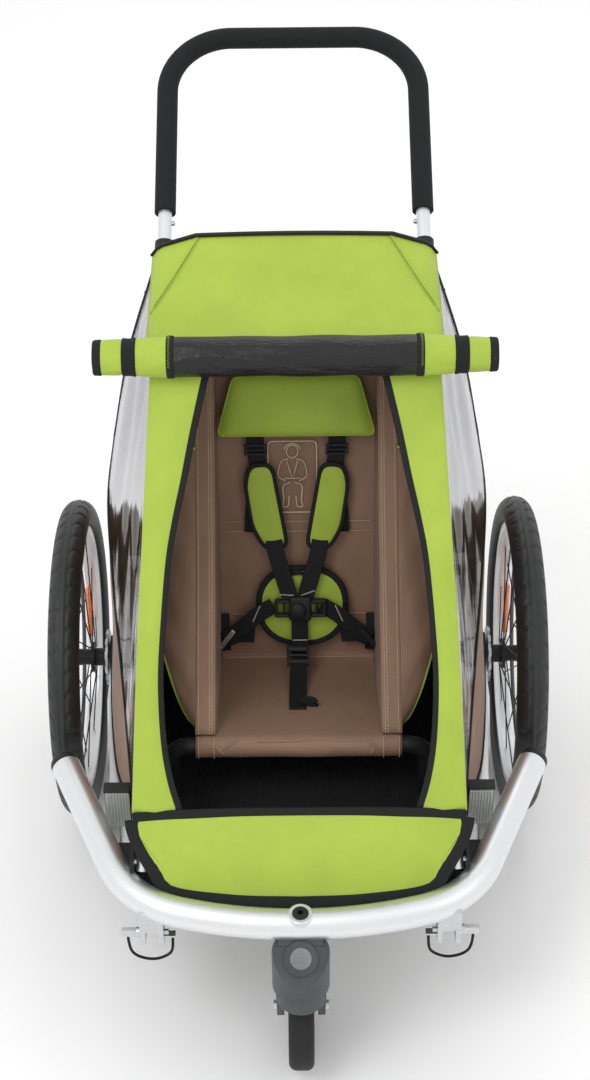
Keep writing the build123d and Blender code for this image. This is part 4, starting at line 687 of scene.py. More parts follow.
def front_bands():
    """The green bands each side of the opening, wrapped round the pillars."""
    for name, side in SIDES:
        grid, inner_line, stitch_line = [], [], []
        for r in range(BAND_ROWS):
            height = FACE_HEIGHT * r / (BAND_ROWS - 1)
            inner = between(INNER_EDGE, height)
            outer = between(OUTER_EDGE, height)
            line = []
            for c in range(11):
                u = c / 10
                x = inner + (outer - inner) * u
                line.append(on_face(side * x, height, 0.0045 * math.sin(math.pi * u) ** 0.8))
            for turn in (20, 45, 70, 90):
                a = math.radians(turn)
                line.append(on_face(side * (outer + EDGE_WRAP * math.sin(a)), height,
                                    -EDGE_WRAP * (1 - math.cos(a))))
            line.append(on_face(side * (outer + 0.0078), height, -0.022))
            grid.append(line if side > 0 else line[::-1])
            inner_line.append(on_face(side * (inner - 0.001), height, 0.0005))
            stitch_line.append(on_face(side * (inner + 0.009), height, 0.0026))
        band = cloth(f"front_band_{name}", grid, THIN_CLOTH, PAINT["green"], "chassis")
        held_sheet(grid)
        fold_with_frame(band)
        edge = binding(f"opening_binding_{name}", inner_line, FACE_OUT, PAINT["tape"], "chassis",
                       0.0105, 0.0042)
        fold_with_frame(edge)
        seam = stitches(f"opening_stitches_{name}", [stitch_line], FACE_OUT,
                        PAINT["green_thread"], "chassis")
        fold_with_frame(seam)


def fold_with_frame(obj):
    """Gives the piece a mesh of its own."""
    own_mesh(obj)


APRON_OUTLINE = [(0.0, -0.5455, 0.305), (0.090, -0.5415, 0.305), (0.1735, -0.5255, 0.3065),
                 (0.1995, -0.5055, 0.330), (0.2225, -0.4765, 0.360), (0.2275, -0.4620, 0.378)]


def apron():
    """The green apron from the opening down to the bumper, with its two bindings."""
    half = [at(*p) for p in APRON_OUTLINE]
    right = smooth_line(half, 25)
    left = [Vector((-p.x, p.y, p.z)) for p in reversed(right)]
    bottom = left[:-1] + right
    columns = len(bottom)
    top = []
    for c in range(columns):
        u = 2 * c / (columns - 1) - 1
        dip = -0.006 * abs(u) ** 3
        top.append(on_face(0.2265 * u, 0.002 + dip, 0.002 + 0.004 * (1 - u * u)))
    rows = 14
    grid = []
    for r in range(rows):
        v = r / (rows - 1)
        line = []
        for c in range(columns):
            p = bottom[c].lerp(top[c], v)
            u = 2 * c / (columns - 1) - 1
            p = p + Vector((0, -0.55, 0.83)) * (0.007 * math.sin(math.pi * v) * (1 - u * u))
            line.append(p)
        grid.append(line)
    body = cloth("front_apron_cloth", grid, COVER_CLOTH, PAINT["green"], "chassis")
    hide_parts("front_apron", "front_surround")
    held_sheet(grid)
    up = Vector((0, -0.7, 0.7))
    binding("apron_top_binding", [p + up * 0.001 for p in top], FACE_OUT, PAINT["tape"],
            "chassis", 0.0135, 0.0040)
    binding("apron_bottom_binding", [p + up * 0.0005 for p in bottom], up, PAINT["tape"],
            "chassis", 0.0210, 0.0046)
    seam = [p.lerp(q, 0.16) + up * 0.0026 for p, q in zip(bottom, top)]
    stitches("apron_stitches", [seam[3:-3]], up, PAINT["green_thread"], "chassis")


ROOF_ROWS = 30
ROOF_COLUMNS = 61


def roof_point(u, v):
    """The roof at u from -1 to 1 across and v from 0 at the front to 1 at the rear."""
    y = ROOF_LOW.y + (ROOF_HIGH.y - ROOF_LOW.y) * v
    z = ROOF_LOW.z + (ROOF_HIGH.z - ROOF_LOW.z) * v
    half = ROOF_HIGH.x + 0.001 - 0.003 * v
    arch = 0.005 * v * (1 - u * u) - 0.005 * math.sin(math.pi * v) * (1 - abs(u) ** 3)
    edge = max(0.0, abs(u) - 0.93) / 0.07
    gusset = max(0.0, abs(u) - (1.06 - 0.36 * v)) * 0.055
    return Vector((u * half + math.copysign(0.003 * edge, u), y, z + arch - 0.012 * edge ** 2 - gusset))


def roof():
    """The stretched roof with its gusset seams, and the black binding along its rear edge."""
    grid = [[roof_point(2 * c / (ROOF_COLUMNS - 1) - 1, r / (ROOF_ROWS - 1))
             for c in range(ROOF_COLUMNS)] for r in range(ROOF_ROWS)]
    flipped = [line[::-1] for line in grid]
    top = cloth("roof_cloth", flipped, STRONG_CLOTH, PAINT["green"], "rear_frame")
    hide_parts("roof_panel")
    path_length([line[30] for line in grid])
    rear = [p + Vector((0, 0.001, 0)) for p in grid[-1]]
    binding("roof_rear_binding", rear, (0, 0.25, 1), PAINT["tape"], "rear_frame", 0.012, 0.0044)
    for name, side in SIDES:
        seam = [roof_point(side * (0.985 - 0.30 * t), 0.35 + 0.63 * t) + Vector((0, 0, 0.0012))
                for t in (i / 30 for i in range(31))]
        sweep(f"roof_gusset_seam_{name}", seam, (0, 0, 1), oval(0.0030, 0.0022, 8),
              PAINT["green"], "rear_frame")
        stitches(f"roof_gusset_stitches_{name}",
                 [[p + Vector((side * -0.004, -0.002, 0.0010)) for p in seam]], (0, 0, 1),
                 PAINT["green_thread"], "rear_frame")


ROLL_CENTRE = (ROLL_LOW + ROLL_HIGH) / 2
ROLL_RADIUS = (ROLL_HIGH.z - ROLL_LOW.z) / 2
ROLL_HALF = ROLL_HIGH.x
FOIL_HALF = 0.166
# The lapped turns seen at the ends: share of the radius, and how far each is drawn in.
ROLL_END_TURNS = ((0.82, 0.003), (0.55, 0.001), (0.30, 0.004), (0.08, 0.002))
STRAP_NECK_X = 0.222
STRAP_START, STRAP_END = 0.213, 0.232


def roll_radius(x, angle):
    """Radius of the rolled cover: full in the middle, tapered at the ends, with lapped turns."""
    taper = max(0.0, (abs(x) - FOIL_HALF) / (ROLL_HALF - FOIL_HALF))
    strap = math.exp(-((abs(x) - STRAP_NECK_X) / 0.010) ** 2)
    lap = 0.0016 * ((angle / (2 * math.pi) + 0.1 * math.sin(14 * x)) % 1.0)
    ripple = 0.0007 * math.sin(55 * x + 3 * math.sin(angle)) * math.sin(2 * angle + 9 * x)
    return ROLL_RADIUS - 0.0018 - 0.0058 * taper ** 1.2 - 0.0022 * strap + lap + ripple


def roll_place(x, angle, radius):
    """A place round the roll: angle 0 faces forward and a quarter turn faces up."""
    return Vector((x, ROLL_CENTRE.y - radius * math.cos(angle),
                   ROLL_CENTRE.z + radius * math.sin(angle)))


def roll_part(name, x0, x1, material, grow=0.0, steps=60, around=72):
    """A closed length of the roll between two places along it."""
    rows = []
    for r in range(steps):
        x = x0 + (x1 - x0) * r / (steps - 1)
        line = []
        for c in range(around):
            a = 2 * math.pi * c / around
            rad = roll_radius(x, a) + grow
            if grow and r in (0, steps - 1):
                rad -= 0.7 * grow
            line.append(roll_place(x, a, rad))
        rows.append(line)
    verts = [p for line in rows for p in line]
    faces = grid_faces(steps, around, wrap=True)
    for end, flip in ((0, True), (steps - 1, False)):
        loop = [end * around + c for c in range(around)]
        x = x0 if end == 0 else x1
        inward = 1 if end == 0 else -1
        for share, depth in ROLL_END_TURNS:
            base = len(verts)
            for c in range(around):
                a = 2 * math.pi * c / around
                rad = roll_radius(x, a) * share
                verts.append(roll_place(x + inward * depth * (1 if x1 > x0 else -1), a, rad))
            new = [base + c for c in range(around)]
            for c in range(around):
                n = (c + 1) % around
                quad = (loop[c], loop[n], new[n], new[c])
                faces.append(quad[::-1] if flip else quad)
            loop = new
        faces.append(tuple(loop) if flip else tuple(reversed(loop)))
    return new_object(name, verts, faces, material, "rear_frame")


def rolled_cover():
    """Green ends, foil middle, stitched bands, elastic straps and black end bindings."""
    overlap = 0.002
    foil = roll_part("rolled_cover_foil", -FOIL_HALF - overlap, FOIL_HALF + overlap,
                     PAINT["foil"], steps=130)
    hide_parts("rolled_cover")
    for name, side in SIDES:
        roll_part(f"roll_end_{name}", side * FOIL_HALF, side * (ROLL_HALF - 0.002), PAINT["green"],
                  0.0008, 44)
        roll_part(f"roll_edge_band_{name}", side * (FOIL_HALF - 0.004), side * (FOIL_HALF + 0.0065),
                  PAINT["tape"], 0.0016, 12)
        roll_part(f"roll_strap_{name}", side * STRAP_START, side * STRAP_END,
                  PAINT["webbing"], 0.0030, 14)
        roll_part(f"roll_tip_{name}", side * (ROLL_HALF - 0.012), side * ROLL_HALF, PAINT["tape"],
                  0.0018, 8)
        line = []
        for i in range(40):
            a = math.pi * (0.02 + 0.9 * i / 39)
            x = side * (FOIL_HALF + 0.0012 + 0.003 * (i % 2))
            rad = roll_radius(x, a) + 0.0022
            line.append(roll_place(x, a, rad))
        sweep(f"roll_zigzag_{name}", line, (1, 0, 0), oval(0.0009, 0.0009, 6),
              PAINT["green_thread"], "rear_frame")


# ---- sides and rear ----------------------------------------------------------------------
LOWER_LOW, LOWER_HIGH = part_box("lower_cover")
SILL_FRONT = (0.229, -0.424, 0.350)
SIDE_VERTEX = (LOWER_HIGH.x - 0.001, 0.040, 0.540)
SIDE_REAR = (LOWER_HIGH.x - 0.003, 0.172, 0.560)
SILL_Z = LOWER_LOW.z + 0.003
SILL_BOTTOM = [(0.229, -0.424, SILL_Z), (0.246, -0.345, SILL_Z), (0.268, -0.270, SILL_Z),
               (0.285, -0.120, SILL_Z), (0.291, 0.030, SILL_Z), (0.283, 0.206, SILL_Z)]
REAR_TOP_Z = 0.842
WINDOW_STEPS = 49
PANEL_ROWS, PANEL_COLUMNS = 15, 41
POCKET_TOP, POCKET_LEFT, POCKET_RIGHT, POCKET_BOTTOM = 15, 8, 32, 3


def sided(point, side):
    """A place given for the right side, on the side asked for."""
    return at(side * point[0], point[1], point[2])


def side_edges(side, count):
    """The four edges of a window: bottom, top, front and rear."""
    bottom = smooth_line([sided(SILL_FRONT, side), sided((0.252, -0.240, 0.425), side),
                          sided((0.272, -0.090, 0.488), side), sided(SIDE_VERTEX, side),
                          sided(SIDE_REAR, side)], count)
    top = [Vector((side * (ROOF_HIGH.x - 0.004), 0, 0)) + Vector((0, p.y, p.z - 0.009))
           for p in (roof_point(1, v / (count - 1)) for v in range(count))]
    front = []
    for r in range(count):
        height = FACE_HEIGHT * r / (count - 1)
        front.append(on_face(side * (between(OUTER_EDGE, height) + 0.0065), height, -0.020))
    front[-1] = top[0]
    bottom[0] = front[0]
    rear = smooth_line([bottom[-1], sided((0.248, 0.148, 0.730), side), top[-1]], count)
    return bottom, top, front, rear


def side_window():
    """Clear film over each side, creased where it meets the widest point of the cover."""
    count = WINDOW_STEPS
    for name, side in SIDES:
        bottom, top, front, rear = side_edges(side, count)
        grid = coons(bottom, top, front, rear)
        for r in range(count):
            for c in range(count):
                v, u = r / (count - 1), c / (count - 1)
                inset = math.sin(math.pi * v) * math.sin(math.pi * u)
                wave = 0.0030 * math.sin(13 * u + 5 * v) + 0.0018 * math.sin(29 * u - 7 * v)
                grid[r][c] += Vector((side * (wave * inset - 0.006 * inset), 0, 0))
        if side > 0:
            grid = [line[::-1] for line in grid]
        pane = cloth(f"side_window_{name}", grid, FILM_THICKNESS, PAINT["film"], "chassis")
        held_sheet(grid)
        fold_with_frame(pane)
        if side < 0:
            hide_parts("side_windows")
        out = (side, 0, 0.2)
        fold_with_frame(binding(f"window_bottom_binding_{name}", bottom, out, PAINT["tape"],
                                "chassis", 0.0085, 0.0030))
        fold_with_frame(binding(f"window_rear_binding_{name}", rear, out, PAINT["tape"],
                                "chassis", 0.0120, 0.0034))


def lower_panels():
    """The brown side panels below the windows and the panel behind the luggage space."""
    rows, count = PANEL_ROWS, PANEL_COLUMNS
    for name, side in SIDES:
        top = side_edges(side, count)[0]
        bottom = smooth_line([sided(place, side) for place in SILL_BOTTOM], count)
        start = smooth_line([bottom[0], top[0]], rows)
        end = smooth_line([bottom[-1], top[-1]], rows)
        grid = coons(bottom, top, start, end)
        for r in range(rows):
            for c in range(count):
                v, u = r / (rows - 1), c / (count - 1)
                ease = math.sin(math.pi * v) * math.sin(math.pi * u)
                grid[r][c] += Vector((side * ease * 0.002 * math.sin(17 * u + 3 * v), 0, 0))
        if side > 0:
            grid = [line[::-1] for line in grid]
        panel = cloth(f"side_panel_{name}", grid, COVER_CLOTH, PAINT["brown"], "chassis")
        held_sheet(grid)
        fold_with_frame(panel)
        if side < 0:
            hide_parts("lower_cover")
        hem = binding(f"side_panel_binding_{name}", bottom, (side, 0, 0), PAINT["tape"], "chassis")
        fold_with_frame(hem)
    rear_panel()


def rear_panel():
    """The rear panel, with a black band at its top edge and a stitched pocket."""
    rows, columns = 33, 41
    window_rear = side_edges(1, 41)[3]
    shared = [p for p in window_rear if p.z <= REAR_TOP_Z]
    right = smooth_line([sided(SILL_BOTTOM[-1], 1), sided((0.283, 0.196, 0.430), 1)]
                        + shared[::6] + [shared[-1]], rows)
    grid = []
    for r, edge in enumerate(right):
        line = []
        for c in range(columns):
            u = 2 * c / (columns - 1) - 1
            v = r / (rows - 1)
            bow = 0.006 * (1 - u * u) * math.sin(math.pi * v)
            fold = 0.0016 * math.sin(11 * u + 6 * v) * (1 - u * u)
            line.append(Vector((edge.x * u, edge.y + bow + fold, edge.z)))
        grid.append(line)
    body = cloth("rear_panel", grid, COVER_CLOTH, PAINT["brown"], "chassis")
    held_sheet(grid)
    out = (0, 1, 0.1)
    across = slice(POCKET_LEFT, POCKET_RIGHT + 1)
    pocket = [lifted_y([line[k] for line in grid[POCKET_BOTTOM:POCKET_TOP]], 0.002)
              for k in (POCKET_LEFT, POCKET_RIGHT)]
    pocket.append(lifted_y(grid[POCKET_BOTTOM][across], 0.002))
    pieces = [body, binding("rear_panel_top_binding", lifted_y(grid[-1], 0.001), out,
                            PAINT["tape"], "chassis", 0.020, 0.0040),
              stitches("rear_pocket_stitches", pocket, out, PAINT["tan_thread"], "chassis"),
              binding("rear_pocket_binding", lifted_y(grid[POCKET_TOP][across], 0.003), out,
                      PAINT["tape"], "chassis", 0.014, 0.0040)]
    for piece in pieces:
        fold_with_frame(piece)


def lifted_y(path, amount):
    return [p + Vector((0, amount, 0)) for p in path]


# ---- floor, reflectors and lanyards ------------------------------------------------------
FLOOR_LOW, FLOOR_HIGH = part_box("floor_panel")


def floor_mesh():
    """The ribbed floor mesh with its curved seam and turned-up front."""
    line = smooth_line([at(0, FLOOR_HIGH.y - AXLE_Y, FLOOR_LOW.z + 0.004),
                        at(0, -0.200, FLOOR_LOW.z + 0.003), at(0, -0.395, FLOOR_LOW.z + 0.004),
                        at(0, -0.425, FLOOR_LOW.z + 0.034), at(0, -0.443, 0.362)], 70)
    grid = []
    for p in line:
        half = 0.190 if p.y - AXLE_Y < -0.395 else FLOOR_HIGH.x - 0.002
        grid.append([Vector((half * (1 - c / 20), p.y, p.z + 0.0012 * math.sin(1.9 * c)))
                     for c in range(41)])
    mesh = cloth("floor_mesh", grid, STRONG_CLOTH, PAINT["mesh"], "chassis")
    held_sheet(grid)
    arc = []
    for i in range(50):
        t = i / 49
        arc.append(at(-0.175 + 0.35 * t, -0.405 + 0.030 * math.sin(math.pi * t), FLOOR_LOW.z + 0.0095))
    sweep("floor_seam", arc, (0, 0, 1), oval(0.006, 0.0024, 10), PAINT["mesh"], "chassis")


LENS_WIDTH = 0.034
LENS_RIBS = 13
LENS_RIB_STEP = 0.0024
LENS_RIM = 0.006


def reflector_housings():
    """A black carrier behind and above each front reflector."""
    low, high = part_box("front_reflectors")
    for name, side in SIDES:
        x = side * (high.x - LENS_WIDTH / 2)
        y, z = (low.y + high.y) / 2, (low.z + high.z) / 2
        axes = (Vector((1, 0, 0)), Vector((0, 1, 0)), Vector((0, 0, 1)))
        rounded_block(f"reflector_carrier_{name}", Vector((x, y + 0.0075, z + 0.001)),
                      (LENS_WIDTH + 0.005, 0.006, high.z - low.z + 0.004), axes,
                      PAINT["black_plastic"], "chassis", 0.0025)
        rounded_block(f"reflector_lip_{name}", Vector((x, y + 0.001, high.z + 0.0015)),
                      (LENS_WIDTH + 0.004, 0.018, 0.005), axes, PAINT["black_plastic"],
                      "chassis", 0.002)
        for k in range(LENS_RIBS):
            shift = (k - LENS_RIBS // 2) * LENS_RIB_STEP
            rounded_block(f"reflector_rib_{name}_{k}", Vector((x + shift, low.y - 0.0002, z)),
                          (0.0010, 0.0012, high.z - low.z - 2 * LENS_RIM), axes,
                          PAINT["clear_reflector"], "chassis", 0.0004)


LANYARD_ROUTE = [(0.034, 0.0, 0.0), (0.034, 0.0, -0.026), (0.026, 0.006, -0.052),
                 (0.002, 0.010, -0.066), (-0.020, 0.008, -0.052), (-0.027, 0.0, -0.027),
                 (-0.027, 0.0, 0.0)]
LANYARD_DIAMETER = 0.004


def lanyards():
    """The cord from each lock pin's eyelet back to the clevis."""
    low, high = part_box("tow_clevises")
    root = Vector((high.x - 0.016, (low.y + high.y) / 2, low.z + 0.005))
    for name, side in SIDES:
        data = bpy.data.curves.new(f"lanyard_cord_{name}", "CURVE")
        data.dimensions = "3D"
        data.bevel_depth = LANYARD_DIAMETER / 2
        data.bevel_resolution = 4
        data.resolution_u = 12
        spline = data.splines.new("NURBS")
        spline.points.add(len(LANYARD_ROUTE) - 1)
        for point, (x, y, z) in zip(spline.points, LANYARD_ROUTE):
            point.co = (side * (root.x + x), root.y + y, root.z + z, 1)
        spline.order_u = 3
        spline.use_endpoint_u = True
        data.materials.append(PAINT["webbing"])
        obj = bpy.data.objects.new(f"lanyard_cord_{name}", data)
        bpy.context.scene.collection.objects.link(obj)
        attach(obj, "chassis")
        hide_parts(f"lanyard_{name}")


# ---- seat --------------------------------------------------------------------------------
SLING_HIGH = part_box("seat_sling")[1]
TUBE_LOW, TUBE_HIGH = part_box("seat_tube")
SEAT_TUBE_RADIUS = (TUBE_HIGH.y - TUBE_LOW.y) / 2
SEAT_TUBE_Y = (TUBE_LOW.y + TUBE_HIGH.y) / 2 - AXLE_Y
SEAT_TUBE_Z = TUBE_HIGH.z - SEAT_TUBE_RADIUS
SEAT_TOP_Y = SLING_HIGH.y - AXLE_Y - 0.003
SEAT_TOP_Z = SLING_HIGH.z
SEAT_HALF = 0.146
CREASE_Y, CREASE_Z = -0.070, 0.308
BACK_RUN = Vector((0, SEAT_TOP_Y - CREASE_Y, SEAT_TOP_Z - CREASE_Z)).normalized()
BACK_OUT = Vector((0, -BACK_RUN.z, BACK_RUN.y))
BAND_HALF = 0.1325
BAND_WIDTH = 0.029


def on_back(x, z, lift=0.0):
    """A place on the seat back at a height, lifted out from its face."""
    y = CREASE_Y + (z - CREASE_Z) * BACK_RUN.y / BACK_RUN.z
    return at(x, y, z) + BACK_OUT * lift


def seat_profile():
    """The middle line of the seat cloth: sleeve round the tube, seat, crease and back."""
    wrap = SEAT_TUBE_RADIUS + 0.004
    line = []
    for i in range(15):
        a = math.radians(-130 + 235 * i / 14)
        line.append(at(0, SEAT_TUBE_Y - wrap * math.cos(a), SEAT_TUBE_Z + wrap * math.sin(a)))
    seat = smooth_line([line[-1], at(0, -0.235, 0.3600), at(0, -0.150, 0.3290),
                        at(0, -0.095, 0.3130), at(0, CREASE_Y + 0.002, CREASE_Z + 0.004)], 22)
    back = smooth_line([seat[-1], on_back(0, 0.330), on_back(0, 0.45), on_back(0, 0.62),
                        on_back(0, SEAT_TOP_Z)], 40)
    return line + seat[1:] + back[1:]


def crest(t):
    """The line of the padded side bands: from the front tube straight to the top of the back."""
    start = at(0, SEAT_TUBE_Y + 0.004, SEAT_TUBE_Z + SEAT_TUBE_RADIUS + 0.006)
    end = on_back(0, SEAT_TOP_Z, 0.004)
    sag = math.sin(math.pi * t)
    return start.lerp(end, t) + Vector((0, 0.018, -0.018)) * sag


def crest_line(side, x, count=50, low=0.0, high=1.0):
    """Part of the crest's line, moved out to one side."""
    return [crest(low + (high - low) * i / (count - 1)) + Vector((side * x, 0, 0))
            for i in range(count)]


CREST_UP = Vector((0, -0.72, 0.69))


def seat_cloth():
    """Seat and back in one cloth, with soft folds, hems and topstitching."""
    middle_line = seat_profile()
    columns = 41
    grid = []
    total = len(middle_line)
    for r, p in enumerate(middle_line):
        v = r / (total - 1)
        line = []
        for c in range(columns):
            u = 2 * c / (columns - 1) - 1
            sag = 0.006 * (1 - u * u) * math.sin(math.pi * min(1, max(0, (v - 0.25) / 0.75)))
            fold = 0.0011 * math.sin(7 * u + 9 * v) * math.sin(21 * v + 3 * u)
            line.append(p + Vector((u * SEAT_HALF, 0, 0)) - BACK_OUT * sag + BACK_OUT * fold)
        grid.append(line[::-1])
    body = cloth("seat_cloth", grid, STRONG_CLOTH, PAINT["brown"], "chassis")
    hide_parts("seat_sling")
    path_length(middle_line)
    rows = [[on_back(x / 20 * 0.110, z, 0.0008) for x in range(-20, 21)]
            for z in (0.523, 0.508, 0.380)]
    rows.append([at(x / 20 * 0.110, CREASE_Y - 0.002, CREASE_Z + 0.0055) for x in range(-20, 21)])
    stitches("seat_cross_stitches", rows, BACK_OUT, PAINT["tan_thread"], "chassis")
    for name, side in SIDES:
        edge = [p + Vector((side * (SEAT_HALF - 0.004), 0, 0)) for p in middle_line[3:14]]
        inner = [p + Vector((side * (SEAT_HALF - 0.026), 0, 0)) for p in middle_line[3:14]]
        stitches(f"sleeve_stitches_{name}", [lifted(edge, 0.0012), lifted(inner, 0.0012)],
                 (0, -0.7, 0.7), PAINT["tan_thread"], "chassis")
    sleeve_wrinkles()


def lifted(path, amount):
    """A line round the front tube moved straight out from the tube."""
    centre = at(0, SEAT_TUBE_Y, SEAT_TUBE_Z)
    out = []
    for p in path:
        away = Vector((0, p.y - centre.y, p.z - centre.z)).normalized()
        out.append(p + away * amount)
    return out


# Pulled folds on the sleeve: where each starts and ends across, and round the tube in degrees.
SLEEVE_FOLDS = ((-0.112, -0.086, 20, 75), (-0.104, -0.118, -5, 40), (0.094, 0.116, 70, 15),
                (0.108, 0.100, 35, -10), (-0.060, 0.020, 62, 70), (0.030, 0.090, 72, 60))


def sleeve_wrinkles():
    """Small pulled folds where the side bands meet the front sleeve."""
    wrap = SEAT_TUBE_RADIUS + 0.0046
    for number, (x0, x1, a0, a1) in enumerate(SLEEVE_FOLDS):
        path = []
        for i in range(16):
            t = i / 15
            a = math.radians(a0 + (a1 - a0) * t)
            path.append(at(x0 + (x1 - x0) * t, SEAT_TUBE_Y - wrap * math.cos(a),
                           SEAT_TUBE_Z + wrap * math.sin(a)))
        sweep_tapered(f"sleeve_fold_{number}", path, 0.0048, 0.0022, PAINT["brown"], "chassis")


def sweep_tapered(name, path, width, height, material, body, up=(0, -0.7, 0.7)):
    """A soft ridge along a path that fades out at both ends."""
    verts = []
    section = oval(1.0, 1.0, 10)
    for i, (point, _, side, lift) in enumerate(frames_along(path, up)):
        share = math.sin(math.pi * (i + 0.35) / (len(path) - 0.3)) ** 0.8
        verts += [point + side * a * width * share + lift * b * height * share for a, b in section]
    faces = grid_faces(len(path), 10, wrap=True)
    faces += [tuple(range(9, -1, -1)), tuple(range(len(verts) - 10, len(verts)))]
    return new_object(name, verts, faces, material, body)


def seat_bands():
    """The padded bands, their inner walls, and the side wings with green-bound edges."""
    for name, side in SIDES:
        path = crest_line(side, BAND_HALF)
        band = sweep(f"seat_band_{name}", path, CREST_UP, oval(BAND_WIDTH, 0.0052, 20, 3.4),
                     PAINT["brown"], "chassis")
        rows = [[p + CREST_UP * 0.0027 for p in crest_line(side, x, 70, 0.0, 0.97)]
                for x in (BAND_HALF - 0.0095, BAND_HALF - 0.0060, BAND_HALF + 0.0095)]
        stitches(f"band_stitches_{name}", rows, CREST_UP, PAINT["tan_thread"], "chassis")
        inner_wall(name, side)
        wing(name, side)


def inner_wall(name, side):
    """The cloth from the band's inner edge back to the seat and its back."""
    base = [Vector((side * 0.1175, p.y, p.z)) for p in seat_profile()[15:]]
    base = smooth_line(base, 50)
    top = crest_line(side, BAND_HALF - BAND_WIDTH / 2 + 0.001)
    grid = []
    for r in range(9):
        t = r / 8
        line = []
        for i, (a, b) in enumerate(zip(base, top)):
            bulge = 0.004 * math.sin(math.pi * t) * math.sin(math.pi * i / 49)
            fold = 0.0016 * math.sin(0.55 * i + 2.2 * t) * math.sin(math.pi * t)
            line.append(a.lerp(b, t) + Vector((side * (bulge + fold), 0, 0)))
        grid.append(line if side < 0 else line[::-1])
    wall = cloth(f"seat_wall_{name}", grid, THIN_CLOTH, PAINT["brown"], "chassis")


WING_LOW, WING_HIGH = 0.02, 0.70
WING_REACH = 0.052
WING_DROP = 0.020


def wing(name, side):
    """The side wing: it flares from the band towards the cabin's side, bound in green."""
    rows, columns = 40, 16
    grid = []
    for r in range(rows):
        v = r / (rows - 1)
        t = WING_LOW + (WING_HIGH - WING_LOW) * v
        root = crest(t) + Vector((side * (BAND_HALF + BAND_WIDTH / 2 - 0.002), 0, 0))
        reach = WING_REACH * min(1.0, (v / 0.30) ** 0.62) * (1 - 0.55 * max(0, (v - 0.55) / 0.45))
        line = []
        for c in range(columns):
            u = c / (columns - 1)
            fold = 0.0028 * math.sin(9 * v + 4 * u) * u + 0.0016 * math.sin(31 * v - 6 * u) * u
            drop = WING_DROP * u * u + fold
            line.append(root + Vector((side * reach * u, 0, 0)) - CREST_UP * drop)
        grid.append(line if side > 0 else line[::-1])
    body = cloth(f"seat_wing_{name}", grid, THIN_CLOTH, PAINT["brown"], "chassis")
    tuck_in(body, side)
    outer = [line[-1] if side > 0 else line[0] for line in grid]
    outer += (grid[-1] if side < 0 else grid[-1][::-1])[1:]
    piping = sweep(f"wing_piping_{name}", outer, CREST_UP, oval(0.0052, 0.0040, 10),
                   PAINT["green"], "chassis")
    tuck_in(piping, side)


def tuck_in(obj, side):
    """Gives the wing piece a mesh of its own."""
    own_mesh(obj)


# ---- padded pieces -----------------------------------------------------------------------
FLAT_BACK = 0.35


def pad(name, outline, place, thickness, material, body, rings=9):
    """A crowned pad on a closed outline of (x, z) points: place() puts them on a surface."""
    centre = sum((Vector(p) for p in outline), Vector((0, 0))) / len(outline)
    count = len(outline)
    verts, faces = [], []
    loops = []
    for half in (1, -1):
        for k in range(rings):
            share = 1 - k / rings
            height = thickness / 2 * (1 - share ** 3.2) ** 0.5 * (1.0 if half > 0 else FLAT_BACK)
            loops.append((share, height * half))
    for share, height in loops:
        for p in outline:
            q = centre + (Vector(p) - centre) * share
            verts.append(place(q.x, q.y, thickness / 2 + height))
    for half in range(2):
        for k in range(rings - 1):
            base = (half * rings + k) * count
            for i in range(count):
                n = (i + 1) % count
                quad = (base + i, base + n, base + count + n, base + count + i)
                faces.append(quad if half == 0 else quad[::-1])
    last_top = (rings - 1) * count
    last_bottom = (2 * rings - 1) * count
    faces.append(tuple(last_top + i for i in range(count)))
    faces.append(tuple(last_bottom + i for i in range(count - 1, -1, -1)))
    # The two halves share their outer edge.
    for i in range(count):
        n = (i + 1) % count
        faces.append((i, rings * count + i, rings * count + n, n))
    return new_object(name, verts, faces, material, body)


def rounded_outline(points, radius, steps=6):
    """A closed outline with its corners rounded."""
    out = []
    count = len(points)
    for i, p in enumerate(points):
        here = Vector(p)
        before = (Vector(points[i - 1]) - here)
        after = (Vector(points[(i + 1) % count]) - here)
        cut = min(radius, before.length * 0.45, after.length * 0.45)
        a = here + before.normalized() * cut
        b = here + after.normalized() * cut
        for k in range(steps + 1):
            t = k / steps
            out.append(a.lerp(here, t).lerp(here.lerp(b, t), t))
    return out


def spread(outline, count=96):
    """A closed outline as evenly spaced points."""
    loop = [Vector(p) for p in outline] + [Vector(outline[0])]
    lengths = [(b - a).length for a, b in zip(loop, loop[1:])]
    total = sum(lengths)
    out, k, gone = [], 0, 0.0
    for i in range(count):
        goal = total * i / count
        while gone + lengths[k] < goal:
            gone += lengths[k]
            k += 1
        out.append(loop[k].lerp(loop[k + 1], (goal - gone) / lengths[k]))
    return out


def bound_pad(name, outline, lift, thickness, tape_width):
    """A green pad on the seat back with a black tape round its edge."""
    def place(x, z, height):
        return on_back(x, z, lift + height)
    body = pad(name, outline, place, thickness, PAINT["green"], "chassis")
    loop = [place(p.x, p.y, thickness / 2) for p in outline]
    binding(f"{name}_binding", loop + loop[:2], BACK_OUT, PAINT["tape"], "chassis", tape_width,
            thickness * 0.62)
    return body


HEADREST_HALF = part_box("headrest_pillow")[1].x + 0.004
HEADREST_BOTTOM = 0.659
HEADREST_TOP = 0.745
HEADREST_TAPER = 0.025
HEADREST_DEPTH = 0.030
HEADREST_CLEARANCE = 0.012


